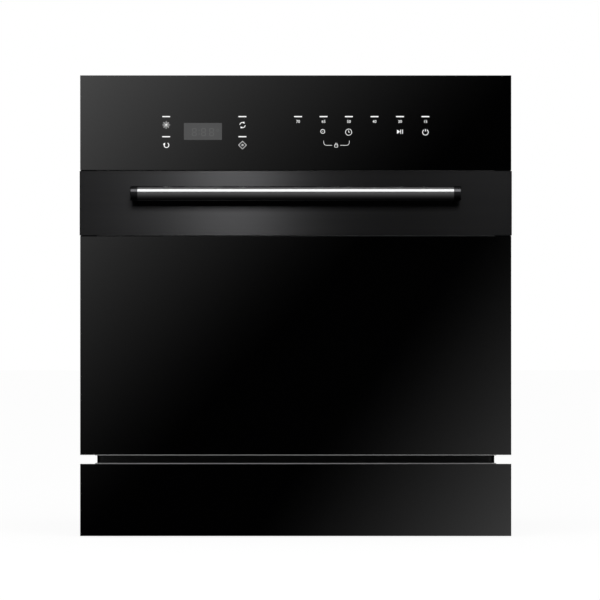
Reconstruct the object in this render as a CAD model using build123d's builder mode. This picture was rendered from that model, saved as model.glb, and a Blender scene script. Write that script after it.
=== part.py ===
from build123d import *
import os

# A compact built-in dishwasher with a drop-down glass door.
# X points right seen from the front, the front faces -Y, Z points up.
# The origin lies on the floor, under the middle of the whole appliance.

os.makedirs("parts", exist_ok=True)

# Front, in millimetres
front_width = 595.0
control_height = 131.4
band_height = 90.0
door_glass_height = 302.6
door_gap = 12.3
kick_height = 99.5
kick_lift = 1.5
seam = 0.8
glass = 4.0
band_overhang = 0.8
handle_drop = 163.6
handle_diameter = 20.0
handle_reach = 42.0
grip_length = 434.0
cap_length = 10.0

# Depths, counted from the front of the glass
overall_depth = 500.0
door_core = 24.0
door_thickness = 45.0
seal_gap = 10.0
hinge_setback = 20.0
hinge_height = 15.0

# Body
body_width = 554.0
top_step = 7.0
sheet = 0.8
wall = 2.5
side_space = 22.0
tub_depth = 400.0
tub_headroom = 16.0
sump_drop = 13.3
ledge_width = 18.0
corner_radius = 28.0
tray_floor_height = 14.0
tray_height = 98.0
tray_setback = 66.0
service_depth = 26.0

# Clearances
running = 0.3
play = 0.6

# Racks
wire = 4.0
rim_wire = 5.0
tine = 3.0
rack_side_gap = 20.0
rack_gap = 10.0
rack_rear_gap = 10.0
lower_rack_lift = 24.7
lower_rack_height = 108.0
upper_rack_drop = 150.0
upper_rack_height = 94.0
cross_wires = 6
long_wires = 9
outer_wire_inset = 32.0
wheel_radius = 16.0
wheel_width = 10.0
axle_radius = 3.0

# Spray arms
lower_arm_margin = 15.0
upper_arm_margin = 40.0
arm_thickness = 11.0

# Heights and depths that follow from the sizes above
door_bottom = kick_lift + kick_height + door_gap
band_bottom = door_bottom + door_glass_height
band_top = band_bottom + band_height
top = band_top + control_height
kick_top = kick_lift + kick_height
body_top = top - top_step
total_depth = overall_depth + handle_reach
front = handle_reach - total_depth / 2
back = front + overall_depth
shell_front = front + glass
flange_face = front + door_core
liner_face = front + door_thickness
tub_front = flange_face + seal_gap
tub_back = tub_front + tub_depth
hinge_y = front + hinge_setback
hinge_z = door_bottom + hinge_height
track_z = hinge_z + liner_face - hinge_y
tub_floor_z = track_z - sump_drop
tub_top = body_top - tub_headroom
half_body = body_width / 2
tub_width = body_width - 2 * side_space
half_tub = tub_width / 2
half_inside = half_body - sheet
half_front = front_width / 2
centre_y = (tub_front + tub_back) / 2
tray_front = front + tray_setback
tray_back = back - service_depth
tray_floor = tray_floor_height + wall
tray_top = tray_floor_height + tray_height
ledge_inner = half_tub - ledge_width

# Rack positions
rack_width = tub_width - 2 * rack_side_gap
half_rack = rack_width / 2
long_pitch = (rack_width - 2 * outer_wire_inset) / (long_wires - 1)
lower_arm_radius = tub_depth / 2 - lower_arm_margin
upper_arm_radius = tub_depth / 2 - upper_arm_margin
rack_front = liner_face + rack_gap
rack_rear = tub_back - rack_rear_gap
rack_pitch = (rack_rear - rack_front - wire) / (cross_wires + 1)
lower_floor = track_z + lower_rack_lift
lower_rim = lower_floor + lower_rack_height
upper_floor = tub_top - upper_rack_drop
upper_rim = upper_floor + upper_rack_height


def save(piece, label):
    piece.label = label
    export_step(piece, f"parts/{label}.step")


def block(x, y, z, mode=Mode.ADD):
    """A box between two values on each axis."""
    with Locations(((x[0] + x[1]) / 2, (y[0] + y[1]) / 2, (z[0] + z[1]) / 2)):
        Box(x[1] - x[0], y[1] - y[0], z[1] - z[0], mode=mode)


def rod_y(x, y, z, radius, mode=Mode.ADD):
    """A round rod along Y between two values of y."""
    with Locations((x, (y[0] + y[1]) / 2, z)):
        Cylinder(radius, y[1] - y[0], rotation=(90, 0, 0), mode=mode)


def rod_x(x, y, z, radius, mode=Mode.ADD):
    """A round rod along X between two values of x."""
    with Locations(((x[0] + x[1]) / 2, y, z)):
        Cylinder(radius, x[1] - x[0], rotation=(0, 90, 0), mode=mode)


def rod_z(x, y, z, radius, mode=Mode.ADD):
    """A round rod along Z between two values of z."""
    with Locations((x, y, (z[0] + z[1]) / 2)):
        Cylinder(radius, z[1] - z[0], mode=mode)


def facing(y):
    """An upright plane at y whose sketches read as seen from the front."""
    return Plane(origin=(0, y, 0), x_dir=(1, 0, 0), z_dir=(0, -1, 0))


# Base tray: a moulded tub that carries the machinery, the feet and the washing tub
foot_inset = 34.0
foot_x = half_body - foot_inset
foot_front_y = tray_front + 24
foot_rear_y = tray_back - 24
foot_stem = 5.0
boss_height = 20.0
rib_height = 4.0
post_x = (ledge_inner + 4, ledge_inner + 14)
inlet_inset, drain_inset, terminal_inset = 74.0, 144.0, 99.0
inlet_x, drain_x, terminal_x = inlet_inset - half_body, drain_inset - half_body, half_body - terminal_inset
service_z = 60.0
inlet_radius, inlet_length = 13.2, 17.0
drain_radius, drain_length = 9.5, 20.0
sump_pipe_z = 70.0
bracket_x = (half_tub + 6, half_tub + 9)
bracket_rear = tray_front + 53
spring_x = (bracket_x[0] + bracket_x[1]) / 2 - 1
spring_z = 40.0
spring_end = centre_y + 90

with BuildPart() as base_tray:
    block((-half_inside, half_inside), (tray_front, tray_back), (tray_floor_height, tray_top))
    fillet(base_tray.edges().filter_by(Axis.Z), 8)
    block(
        (wall - half_inside, half_inside - wall),
        (tray_front + wall, tray_back - wall),
        (tray_floor, tray_top + 1),
        mode=Mode.SUBTRACT,
    )
    for side in (-1, 1):
        for y in (foot_front_y, foot_rear_y):
            rod_z(side * foot_x, y, (tray_floor_height, tray_floor_height + boss_height), 12)
            rod_z(side * foot_x, y, (0, tray_top), foot_stem + running, mode=Mode.SUBTRACT)
        for y in (tray_front + 60, centre_y, tray_back - 60):
            legs = sorted((side * post_x[0], side * post_x[1]))
            block(legs, (y - 15, y + 15), (tray_floor, track_z - sheet))
    for y in (tray_front + 110, tray_back - 130):
        block((-half_inside + wall, half_inside - wall), (y - 1.5, y + 1.5), (tray_floor, tray_floor + rib_height))
    for side in (-1, 1):
        anchor = sorted((side * (spring_x - 7), side * (half_inside - wall)))
        block(anchor, (spring_end, spring_end + 6), (tray_floor, spring_z + 10))
    rod_y(inlet_x, (tray_back - 10, tray_back + 1), service_z, inlet_radius + play, mode=Mode.SUBTRACT)
    rod_y(drain_x, (tray_back - 10, tray_back + 1), service_z, drain_radius + play, mode=Mode.SUBTRACT)
save(base_tray.part, "base_tray")

# Washing tub: wrap, rear wall and floor, pressed from thin stainless sheet
flange_top = body_top - sheet
with BuildPart() as wrap_sheet:
    with BuildSketch(facing(tub_back + sheet)):
        with BuildLine():
            Polyline(
                (-half_tub - sheet, tub_floor_z),
                (-half_tub - sheet, tub_top + sheet),
                (half_tub + sheet, tub_top + sheet),
                (half_tub + sheet, tub_floor_z),
                close=True,
            )
        make_face()
    extrude(amount=tub_depth + sheet)
    fillet(wrap_sheet.edges().filter_by(Axis.Y).group_by(Axis.Z)[-1], corner_radius + sheet)
    with BuildPart(mode=Mode.SUBTRACT):
        with BuildSketch(facing(tub_back + 2)) as hollow:
            with Locations((0, (tub_floor_z + tub_top) / 2 - 50)):
                Rectangle(tub_width, tub_top - tub_floor_z + 100)
            fillet(hollow.vertices().group_by(Axis.Y)[-1], corner_radius)
        extrude(amount=tub_depth + 10)

arch_z = tub_top - corner_radius
with BuildPart() as side_flanges:
    for side in (-1, 1):
        strip = sorted((side * (half_tub + sheet), side * half_inside))
        block(strip, (tub_front, tub_front + sheet), (track_z, arch_z))
with BuildPart() as top_flange:
    with BuildSketch(facing(tub_front + sheet)):
        with Locations((0, (arch_z + flange_top) / 2)):
            Rectangle(2 * half_inside, flange_top - arch_z)
        with BuildSketch(facing(tub_front + sheet), mode=Mode.SUBTRACT) as arch:
            with Locations((0, (tub_floor_z + tub_top + sheet) / 2)):
                Rectangle(tub_width + 2 * sheet, tub_top + sheet - tub_floor_z)
            fillet(arch.vertices().group_by(Axis.Y)[-1], corner_radius + sheet)
    extrude(amount=sheet)
wrap_pieces = [wrap_sheet.part, top_flange.part] + side_flanges.part.solids()
save(Compound(children=wrap_pieces), "tub_wrap")

dock_z = upper_floor - wire - 8.5
dock_bore = 9.0
with BuildPart() as tub_rear:
    with BuildSketch(facing(tub_back + sheet)) as rear_outline:
        with Locations((0, (tub_floor_z - sheet + tub_top) / 2)):
            Rectangle(tub_width, tub_top - tub_floor_z + sheet)
        fillet(rear_outline.vertices().group_by(Axis.Y)[-1], corner_radius)
        with Locations((0, dock_z)):
            Circle(dock_bore + play, mode=Mode.SUBTRACT)
    extrude(amount=sheet)
save(tub_rear.part, "tub_rear")

sump_radius = 105.0
float_inset, salt_inset = 56.0, 59.0
float_x, float_y = half_tub - float_inset, tub_front + 48
salt_x, salt_y = salt_inset - half_tub, tub_front + 58
neck_radius = 25.0
with BuildPart() as tub_floor:
    block((-half_tub, half_tub), (tub_front, tub_back), (tub_floor_z - sheet, track_z))
    block(
        (-ledge_inner, ledge_inner),
        (tub_front + 4, tub_back - sheet),
        (tub_floor_z, track_z + 1),
        mode=Mode.SUBTRACT,
    )
    fillet(tub_floor.edges().filter_by(Axis.Z).group_by(SortBy.DISTANCE)[0], 3)
    for side in (-1, 1):
        under = sorted((side * (ledge_inner + sheet), side * (half_tub - sheet)))
        block(under, (tub_front + sheet, tub_back - sheet), (0, track_z - sheet), mode=Mode.SUBTRACT)
    block(
        (-half_tub + sheet, half_tub - sheet),
        (tub_front + sheet, tub_front + 4 - sheet),
        (0, track_z - sheet),
        mode=Mode.SUBTRACT,
    )
    rod_z(0, centre_y, (tub_floor_z - 5, tub_floor_z + 5), sump_radius, mode=Mode.SUBTRACT)
    rod_z(salt_x, salt_y, (tub_floor_z - 5, tub_floor_z + 5), neck_radius + play, mode=Mode.SUBTRACT)
    rod_z(float_x, float_y, (tub_floor_z - 5, tub_floor_z + 5), 4 + play, mode=Mode.SUBTRACT)
save(tub_floor.part, "tub_floor")

# Outer casing
panel_foot = tray_floor_height + 6
notch_z = hinge_z + hinge_setback
screw_y = tub_front + 14
screw_z = (track_z + 50, body_top - 90)


def side_panel(side):
    """A folded side sheet with a notch in front for the swinging door."""
    inner, outer = side * half_inside, side * half_body
    lip = side * (half_inside - 12)
    with BuildPart() as panel:
        with BuildSketch(Plane.YZ.offset(min(inner, outer))):
            with BuildLine():
                Polyline(
                    (tub_front, notch_z),
                    (tub_front, flange_top),
                    (back - sheet, flange_top),
                    (back - sheet, panel_foot),
                    (tray_front, panel_foot),
                    (tray_front, notch_z),
                    close=True,
                )
            make_face()
        extrude(amount=sheet)
        lips = sorted((lip, inner))
        block(lips, (tub_front + sheet, tub_front + 2 * sheet), (track_z, flange_top))
        block(lips, (tub_front + sheet, back - sheet), (flange_top - sheet, flange_top))
        block(lips, (back - 2 * sheet, back - sheet), (tray_top + 8, flange_top))
        for z in screw_z:
            rod_x((min(inner, outer) - 1, max(inner, outer) + 1), screw_y, z, 2.5, mode=Mode.SUBTRACT)
    return panel.part


save(side_panel(-1), "side_panel_left")
save(side_panel(1), "side_panel_right")

with BuildPart() as top_cover:
    block((-half_body, half_body), (tub_front, back), (flange_top, body_top))
    with BuildSketch(Plane.XY.offset(body_top)):
        with Locations((0, (tub_front + back) / 2)):
            RectangleRounded(body_width - 120, tub_depth - 40, 40)
            RectangleRounded(body_width - 136, tub_depth - 56, 32, mode=Mode.SUBTRACT)
    extrude(amount=1.2)
save(top_cover.part, "top_cover")

with BuildPart() as rear_panel:
    block((-half_body, half_body), (back - sheet, back), (tray_top + 8, flange_top))
    with BuildSketch(facing(back + 1)):
        with Locations((0, tub_top - 60)):
            with GridLocations(70, 16, 4, 3):
                SlotOverall(50, 5)
    extrude(amount=4, mode=Mode.SUBTRACT)
save(rear_panel.part, "rear_panel")

# Kick panel and its steel carrier
with BuildPart() as kick_panel:
    block((-half_front, half_front), (front, shell_front), (kick_lift, kick_top))
    chamfer(kick_panel.faces().sort_by(Axis.Y)[0].edges(), 0.6)
save(kick_panel.part, "kick_panel")

carrier_low, carrier_high = kick_lift + 6, kick_top + 0.7
strap_x, strap_width = 180.0, 3.0
strap_z = (45.0, 65.0)
with BuildPart() as kick_tray:
    block((-half_body, half_body), (shell_front, flange_face), (carrier_low, carrier_high))
    block(
        (sheet - half_body, half_body - sheet),
        (shell_front + sheet, flange_face + 1),
        (carrier_low + sheet, carrier_high - sheet),
        mode=Mode.SUBTRACT,
    )
with BuildPart() as kick_straps:
    for x in (-strap_x, strap_x):
        block((x - strap_width / 2, x + strap_width / 2), (shell_front + sheet, tray_front), strap_z)
save(Compound(children=[kick_tray.part] + kick_straps.part.solids()), "kick_carrier")

# Door seal: a closed loop of rubber on the tub's front flange
seal_width = 7.0
seal_low, seal_high = track_z - 12, tub_top + 9
with BuildPart() as door_seal:
    with BuildSketch(facing(tub_front)):
        with Locations((0, (seal_low + seal_high) / 2)):
            RectangleRounded(tub_width + 20, seal_high - seal_low, corner_radius)
            RectangleRounded(
                tub_width + 20 - 2 * seal_width,
                seal_high - seal_low - 2 * seal_width,
                corner_radius - seal_width,
                mode=Mode.SUBTRACT,
            )
    extrude(amount=seal_gap - sheet - running)
    chamfer(door_seal.faces().sort_by(Axis.Y)[0].edges(), 1.5)
save(door_seal.part, "door_seal")

# Sump, filters and pumps under the tub floor
bowl_radius, bowl_bottom = 84.0, 48.0
hub_radius, hub_bore = 10.0, 7.0
filter_x, filter_y, cup_radius = 36.0, centre_y - 35, 28.0
plate_top = tub_floor_z + 2.5
arm_low = plate_top + 14
with BuildPart() as sump:
    with BuildSketch(Plane.XZ):
        with BuildLine():
            Polyline(
                (0, bowl_bottom),
                (bowl_radius, bowl_bottom),
                (bowl_radius, 111),
                (sump_radius + 8, 122),
                (sump_radius + 8, tub_floor_z - sheet),
                (sump_radius + 8 - 12, tub_floor_z - sheet),
                (sump_radius + 8 - 12, 125),
                (bowl_radius - wall, 113),
                (bowl_radius - wall, bowl_bottom + wall),
                (0, bowl_bottom + wall),
                close=True,
            )
        make_face()
    revolve(axis=Axis.Z)
    sump_shape = sump.part
with BuildPart() as sump:
    with Locations((0, centre_y, 0)):
        add(sump_shape)
    rod_z(0, centre_y, (bowl_bottom, tub_floor_z - sheet), hub_radius + 4)
    rod_x((bowl_radius - 1, bowl_radius + 20), centre_y, sump_pipe_z, 17)
    rod_x((-bowl_radius - 20, 1 - bowl_radius), centre_y, sump_pipe_z, 12)
    rod_y(0, (centre_y + bowl_radius - 1, centre_y + bowl_radius + 15), sump_pipe_z + 15, 14)
    rod_x((bowl_radius - 4, bowl_radius + 21), centre_y, sump_pipe_z, 14, mode=Mode.SUBTRACT)
    rod_x((-bowl_radius - 21, 4 - bowl_radius), centre_y, sump_pipe_z, 9, mode=Mode.SUBTRACT)
save(sump.part, "sump")

with BuildPart() as filter_plate:
    rod_z(0, centre_y, (tub_floor_z, plate_top), sump_radius + 7)
    rod_z(0, centre_y, (plate_top, arm_low + arm_thickness + 2), hub_radius)
    rod_z(0, centre_y, (plate_top, arm_low - 4 - play), hub_radius + 6)
    rod_z(0, centre_y, (plate_top + 8, top), hub_bore, mode=Mode.SUBTRACT)
    rod_z(filter_x, filter_y, (0, plate_top + 1), cup_radius + play, mode=Mode.SUBTRACT)
    with BuildSketch(Plane.XY.offset(tub_floor_z)):
        with Locations((0, centre_y)):
            with PolarLocations(90, 14, start_angle=20, angular_range=230):
                SlotOverall(22, 3)
    extrude(amount=plate_top - tub_floor_z, mode=Mode.SUBTRACT)
save(filter_plate.part, "filter_plate")

cup_depth = 55.0
with BuildPart() as filter_cup:
    rod_z(filter_x, filter_y, (plate_top - cup_depth, plate_top + running), cup_radius)
    rod_z(filter_x, filter_y, (plate_top + running, plate_top + running + 3), cup_radius + 5)
    rod_z(
        filter_x, filter_y, (plate_top - cup_depth + wall, top), cup_radius - wall, mode=Mode.SUBTRACT
    )
    block(
        (filter_x - cup_radius + 1, filter_x + cup_radius - 1),
        (filter_y - 2, filter_y + 2),
        (plate_top - 8, plate_top + 9),
    )
    for i in range(4):
        z = plate_top - 14 - 9 * i
        with Locations((filter_x, filter_y, z)):
            Box(2 * cup_radius + 4, 24, 3, mode=Mode.SUBTRACT)
save(filter_cup.part, "filter_cup")

pump_start = bowl_radius + 20
pump_end = half_body - 43
with BuildPart() as wash_pump:
    rod_x((pump_start, pump_start + 34), centre_y, sump_pipe_z, 42)
    rod_x((pump_start + 34, pump_start + 44), centre_y, sump_pipe_z, 30)
    rod_x((pump_start + 44, pump_end), centre_y, sump_pipe_z, 36)
    chamfer(wash_pump.edges().filter_by(GeomType.CIRCLE).sort_by(Axis.X)[-1], 5)
    block((pump_end - 70, pump_end - 20), (centre_y - 24, centre_y + 24), (tray_floor, 45))
save(wash_pump.part, "wash_pump")

with BuildPart() as drain_pump:
    rod_x((-pump_start - 22, -pump_start), centre_y, sump_pipe_z, 26)
    rod_x((-pump_start - 64, -pump_start - 22), centre_y, sump_pipe_z, 20)
    block((-pump_start - 56, -pump_start - 30), (centre_y - 14, centre_y + 14), (tray_floor, 56))
    rod_y(-pump_start - 11, (centre_y + 20, centre_y + 44), sump_pipe_z, 8)
save(drain_pump.part, "drain_pump")

softener_margin = 27.0
softener_top = tray_top + 6
boss_radius = 12.0
with BuildPart() as water_softener:
    block(
        (boss_radius + 2 - foot_x, salt_x + softener_margin),
        (tray_front + wall + running, centre_y - 38),
        (tray_floor + rib_height, softener_top),
    )
    fillet(water_softener.edges().filter_by(Axis.Z), 8)
    rod_z(salt_x, salt_y, (softener_top, plate_top), neck_radius)
    rod_z(salt_x, salt_y, (60, plate_top + 1), neck_radius - 5, mode=Mode.SUBTRACT)
save(water_softener.part, "water_softener")

with BuildPart() as salt_cap:
    rod_z(salt_x, salt_y, (plate_top + running, plate_top + 9), neck_radius + 3)
    chamfer(salt_cap.edges().group_by(Axis.Z)[-1], 1.5)
    block((salt_x - 20, salt_x + 20), (salt_y - 3, salt_y + 3), (plate_top + 8, plate_top + 14))
save(salt_cap.part, "salt_cap")

float_travel = 8.0
with BuildPart() as overfill_float:
    rod_z(float_x, float_y, (tub_floor_z - 22, tub_floor_z + 6), 4)
    rod_z(float_x, float_y, (tub_floor_z + running, tub_floor_z + 20), 14)
    chamfer(overfill_float.edges().group_by(Axis.Z)[-1], 5)
save(overfill_float.part, "overfill_float")

with BuildPart() as inlet_valve:
    block((inlet_x - 22, inlet_x + 22), (tray_back - 50, tray_back - wall), (service_z - 22, service_z + 22))
    rod_y(inlet_x, (tray_back - wall, tray_back), service_z, inlet_radius - play)
    rod_y(inlet_x, (tray_back, tray_back + inlet_length), service_z, inlet_radius)
    rod_y(inlet_x, (tray_back - 4, back), service_z, 8, mode=Mode.SUBTRACT)
    rod_z(inlet_x, tray_back - 28, (service_z + 22, service_z + 44), 16)
save(inlet_valve.part, "inlet_valve")

with BuildPart() as drain_spigot:
    rod_y(drain_x, (tray_back - wall - 4, tray_back - wall), service_z, 17)
    rod_y(drain_x, (tray_back - wall - 30, tray_back), service_z, drain_radius - play)
    rod_y(drain_x, (tray_back, tray_back + drain_length), service_z, drain_radius)
    rod_y(drain_x, (tray_back - wall - 31, back), service_z, drain_radius - 2.5, mode=Mode.SUBTRACT)
save(drain_spigot.part, "drain_spigot")

with BuildPart() as terminal_box:
    block((terminal_x - 32, terminal_x + 32), (tray_back, back - 4), (32, 92))
    fillet(terminal_box.edges().filter_by(Axis.Y), 5)
    rod_z(terminal_x, tray_back + 11, (24, 40), 9)
    rod_z(terminal_x, tray_back + 11, (23, 50), 5, mode=Mode.SUBTRACT)
save(terminal_box.part, "terminal_box")

riser_depth = 14.0
riser_front = tub_back + sheet
manifold_z = sump_pipe_z + 15
with BuildPart() as feed_manifold:
    block((-24, 24), (riser_front, riser_front + riser_depth), (manifold_z - 12, dock_z + 22))
    fillet(feed_manifold.edges().filter_by(Axis.Y), 8)
    rod_y(0, (centre_y + bowl_radius + 15, riser_front + 5), manifold_z, 12)
    rod_y(0, (tub_back - 8, riser_front + 1), dock_z, dock_bore)
    rod_y(0, (tub_back - 9, riser_front + 6), dock_z, dock_bore - 2.5, mode=Mode.SUBTRACT)
save(feed_manifold.part, "feed_manifold")

# Hinges: a bracket with a pin on each side of the body, an arm on each side of the door
pin_radius = 4.0
lug_radius = 8.0
with BuildPart() as hinge_brackets:
    with BuildSketch(Plane.YZ.offset(bracket_x[0])):
        with BuildLine():
            Polyline(
                (hinge_y, hinge_z - lug_radius),
                (tray_front + 13, hinge_z - lug_radius),
                (tray_front + 13, tray_floor),
                (bracket_rear, tray_floor),
                (bracket_rear, hinge_z - 10),
                (bracket_rear - 12, hinge_z + lug_radius),
                (hinge_y, hinge_z + lug_radius),
                close=True,
            )
        make_face()
        with Locations((hinge_y, hinge_z)):
            Circle(lug_radius)
    extrude(amount=bracket_x[1] - bracket_x[0])
    rod_x((bracket_x[1], bracket_x[1] + 7), hinge_y, hinge_z, pin_radius)
    block((bracket_x[1], half_inside - wall), (tray_front + 13, tray_front + 16), (40, 100))
    mirror(about=Plane.YZ)
save(hinge_brackets.part, "hinge_brackets")

with BuildPart() as door_springs:
    with BuildSketch(Plane.XY):
        with BuildLine():
            points = [(0, bracket_rear + running), (1.4, bracket_rear + running), (1.4, bracket_rear + 12)]
            coils = 9
            pitch = (spring_end - bracket_rear - 24) / coils
            for i in range(coils):
                start = bracket_rear + 12 + i * pitch
                points += [(5.4, start), (7, start + pitch / 2), (5.4, start + pitch * 0.98)]
            points += [(1.4, spring_end - 12), (1.4, spring_end), (0, spring_end)]
            Polyline(*points, close=True)
        make_face()
    revolve(axis=Axis.Y)
    spring_shape = door_springs.part
with BuildPart() as door_springs:
    with Locations((spring_x, 0, spring_z), (-spring_x, 0, spring_z)):
        add(spring_shape)
save(door_springs.part, "door_springs")

strike_z = seal_high + 3.4
strike_reach = 17.0
with BuildPart() as latch_strike:
    block((-20, 20), (tub_front - 1.5, tub_front), (seal_high + 0.4, flange_top))
    block((-6, 6), (tub_front - strike_reach, tub_front - 1), (strike_z - 1.2, strike_z + 1.2))
save(latch_strike.part, "latch_strike")

# Upper rack runners: fixed channel, middle slide, rack rail
rail_z = upper_floor + 34
rail_half = 9.0
rail_front = rack_front - 2
rail_wall = 1.5
channel_depth = 5.0
with BuildPart() as fixed_rails:
    block(
        (half_tub - channel_depth, half_tub),
        (rail_front - 2, rack_rear),
        (rail_z - rail_half, rail_z + rail_half),
    )
    block(
        (half_tub - channel_depth - 1, half_tub - rail_wall),
        (rail_front - 3, rack_rear - 3),
        (rail_z - rail_half + rail_wall, rail_z + rail_half - rail_wall),
        mode=Mode.SUBTRACT,
    )
    mirror(about=Plane.YZ)
save(fixed_rails.part, "fixed_rails")

slide_half = rail_half - rail_wall - running
slide_inner = half_tub - 2 * channel_depth - 2
slot_end = half_tub - channel_depth - rail_wall
with BuildPart() as slide_rails:
    block(
        (slide_inner, half_tub - rail_wall - running),
        (rail_front, rack_rear - 4),
        (rail_z - slide_half, rail_z + slide_half),
    )
    block(
        (slide_inner - 1, slot_end),
        (rail_front - 3, rack_rear),
        (rail_z - slide_half + rail_wall, rail_z + slide_half - rail_wall),
        mode=Mode.SUBTRACT,
    )
    mirror(about=Plane.YZ)
save(slide_rails.part, "slide_rails")

rack_rail_half = slide_half - rail_wall - running
rack_rail_x = (half_rack + 5, slot_end - running)
with BuildPart() as rail_bars:
    block(
        rack_rail_x,
        (rail_front + 1, rack_rear - 6),
        (rail_z - rack_rail_half, rail_z + rack_rail_half),
    )
    mirror(about=Plane.YZ)
with BuildPart() as rail_brackets:
    for i in (1.5, 4.5):
        y = rack_front + wire / 2 + i * rack_pitch
        block((half_rack, rack_rail_x[0]), (y - 40, y + 40), (rail_z - 4, rail_z + 4))
    mirror(about=Plane.YZ)
save(Compound(children=rail_bars.part.solids() + rail_brackets.part.solids()), "rack_rails")


# Door: shell, liner, glass, band, handle and control panel
shell_low = door_bottom - 0.7
with BuildPart() as door_shell:
    block((-half_body, half_body), (shell_front, flange_face), (shell_low, band_top))
    block(
        (sheet - half_body, half_body - sheet),
        (shell_front + sheet, flange_face + 1),
        (shell_low + sheet, band_top - sheet),
        mode=Mode.SUBTRACT,
    )
    for side in (-1, 1):
        notch = sorted((side * (bracket_x[0] - 3), side * (bracket_x[1] + 3)))
        block(
            notch,
            (shell_front + sheet + 6, flange_face + 1),
            (shell_low - 1, shell_low + 2),
            mode=Mode.SUBTRACT,
        )
    for z in (door_bottom + 110, door_bottom + 220):
        block((-half_body + sheet, half_body - sheet), (shell_front + sheet, shell_front + 7), (z, z + 1.2))
save(door_shell.part, "door_shell")

arm_x_range = (bracket_x[1] + 2, bracket_x[1] + 5)
with BuildPart() as hinge_arms:
    with BuildSketch(Plane.YZ.offset(arm_x_range[0])):
        with BuildLine():
            Polyline(
                (hinge_y - lug_radius, hinge_z),
                (hinge_y - lug_radius, hinge_z + 90),
                (flange_face, hinge_z + 90),
                (flange_face, hinge_z + 6),
                (hinge_y + lug_radius - 3, hinge_z),
                close=True,
            )
        make_face()
        with Locations((hinge_y, hinge_z)):
            Circle(lug_radius - 1)
            Circle(pin_radius + running, mode=Mode.SUBTRACT)
    extrude(amount=arm_x_range[1] - arm_x_range[0])
    block((arm_x_range[1], half_inside), (flange_face - 3, flange_face), (hinge_z + 22, hinge_z + 90))
    mirror(about=Plane.YZ)
save(hinge_arms.part, "hinge_arms")

liner_low = hinge_z + 18
liner_high = top - 5
panel_low = track_z + 5
panel_high = tub_top - 8
panel_width = tub_width - 12
dispenser_z = (panel_low + 142, panel_low + 227)
dispenser_x = (-75.0, 75.0)
with BuildPart() as door_liner:
    with BuildSketch(facing(liner_face)):
        with Locations((0, (panel_low + panel_high) / 2)):
            RectangleRounded(panel_width, panel_high - panel_low, corner_radius - 6)
    extrude(amount=liner_face - flange_face)
    fillet(door_liner.faces().sort_by(Axis.Y)[-1].edges(), 5)
    offset(amount=-sheet, openings=door_liner.faces().sort_by(Axis.Y)[0])
    with BuildSketch(facing(flange_face + sheet)):
        with Locations((0, (liner_low + liner_high) / 2)):
            Rectangle(2 * (half_body - 4), liner_high - liner_low)
        with Locations((0, (panel_low + panel_high) / 2)):
            RectangleRounded(
                panel_width - 2 * sheet,
                panel_high - panel_low - 2 * sheet,
                corner_radius - 6 - sheet,
                mode=Mode.SUBTRACT,
            )
    extrude(amount=sheet)
    block(
        (dispenser_x[0] - running, dispenser_x[1] + running),
        (liner_face - 6, liner_face + 1),
        (dispenser_z[0] - running, dispenser_z[1] + running),
        mode=Mode.SUBTRACT,
    )
    block((-8, 8), (flange_face - 1, flange_face + 2), (strike_z - 3, strike_z + 3), mode=Mode.SUBTRACT)
save(door_liner.part, "door_liner")

with BuildPart() as door_glass:
    block((-half_front, half_front), (front, shell_front), (door_bottom, band_bottom - seam / 2))
    chamfer(door_glass.faces().sort_by(Axis.Y)[0].edges(), 0.6)
save(door_glass.part, "door_glass")

with BuildPart() as control_glass:
    block((-half_front, half_front), (front, shell_front), (band_top + seam / 2, top))
    chamfer(control_glass.faces().sort_by(Axis.Y)[0].edges(), 0.6)
save(control_glass.part, "control_glass")

half_band = half_front + band_overhang
band_sheet = 1.2
with BuildPart() as handle_band:
    block((-half_band, half_band), (front, shell_front), (band_bottom + seam / 2, band_top - seam / 2))
    fillet(handle_band.faces().sort_by(Axis.Y)[0].edges().filter_by(Axis.Z), 1.5)
    chamfer(handle_band.faces().sort_by(Axis.Y)[0].edges().filter_by(Axis.X), 0.4)
    block(
        (band_sheet - half_band, half_band - band_sheet),
        (front + band_sheet, shell_front + 1),
        (band_bottom + seam / 2 + band_sheet, band_top - seam / 2 - band_sheet),
        mode=Mode.SUBTRACT,
    )
save(handle_band.part, "handle_band")

handle_z = top - handle_drop
handle_radius = handle_diameter / 2
handle_y = front - handle_reach + handle_radius
half_grip = grip_length / 2
with BuildPart() as handle_bar:
    rod_x((-half_grip, half_grip), handle_y, handle_z, handle_radius)
    rod_x((-half_grip - 1, half_grip + 1), handle_y, handle_z, handle_radius - 1.5, mode=Mode.SUBTRACT)
save(handle_bar.part, "handle_bar")

post_height = 15.0
with BuildPart() as handle_posts:
    rod_x((half_grip, half_grip + cap_length), handle_y, handle_z, handle_radius)
    chamfer(handle_posts.edges().filter_by(GeomType.CIRCLE).sort_by(Axis.X)[-1], 0.8)
    rod_x((half_grip - 12, half_grip), handle_y, handle_z, handle_radius - 1.5)
    block(
        (half_grip + 0.4, half_grip + cap_length - 0.8),
        (handle_y, front),
        (handle_z - post_height / 2, handle_z + post_height / 2),
    )
    mirror(about=Plane.YZ)
save(handle_posts.part, "handle_posts")

display_x, display_drop = -128.1, 76.6
display_width, display_height = 52.5, 24.0
display_z = top - display_drop
housing_low, housing_high = band_top, top - 1.5
with BuildPart() as control_housing:
    block((-half_body, half_body), (shell_front, flange_face), (housing_low, housing_high))
    fillet(control_housing.edges().filter_by(Axis.Y), 4)
    block(
        (2 - half_body, half_body - 2),
        (shell_front + 2, flange_face + 1),
        (housing_low + 2, housing_high - 2),
        mode=Mode.SUBTRACT,
    )
    block(
        (display_x - display_width / 2, display_x + display_width / 2),
        (shell_front - 1, shell_front + 3),
        (display_z - display_height / 2, display_z + display_height / 2),
        mode=Mode.SUBTRACT,
    )
    for x in (-200, -60, 60, 200):
        for z in (display_z - 34, display_z + 34):
            rod_y(x, (shell_front + 1, shell_front + 4), z, 4)
save(control_housing.part, "control_housing")

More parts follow.
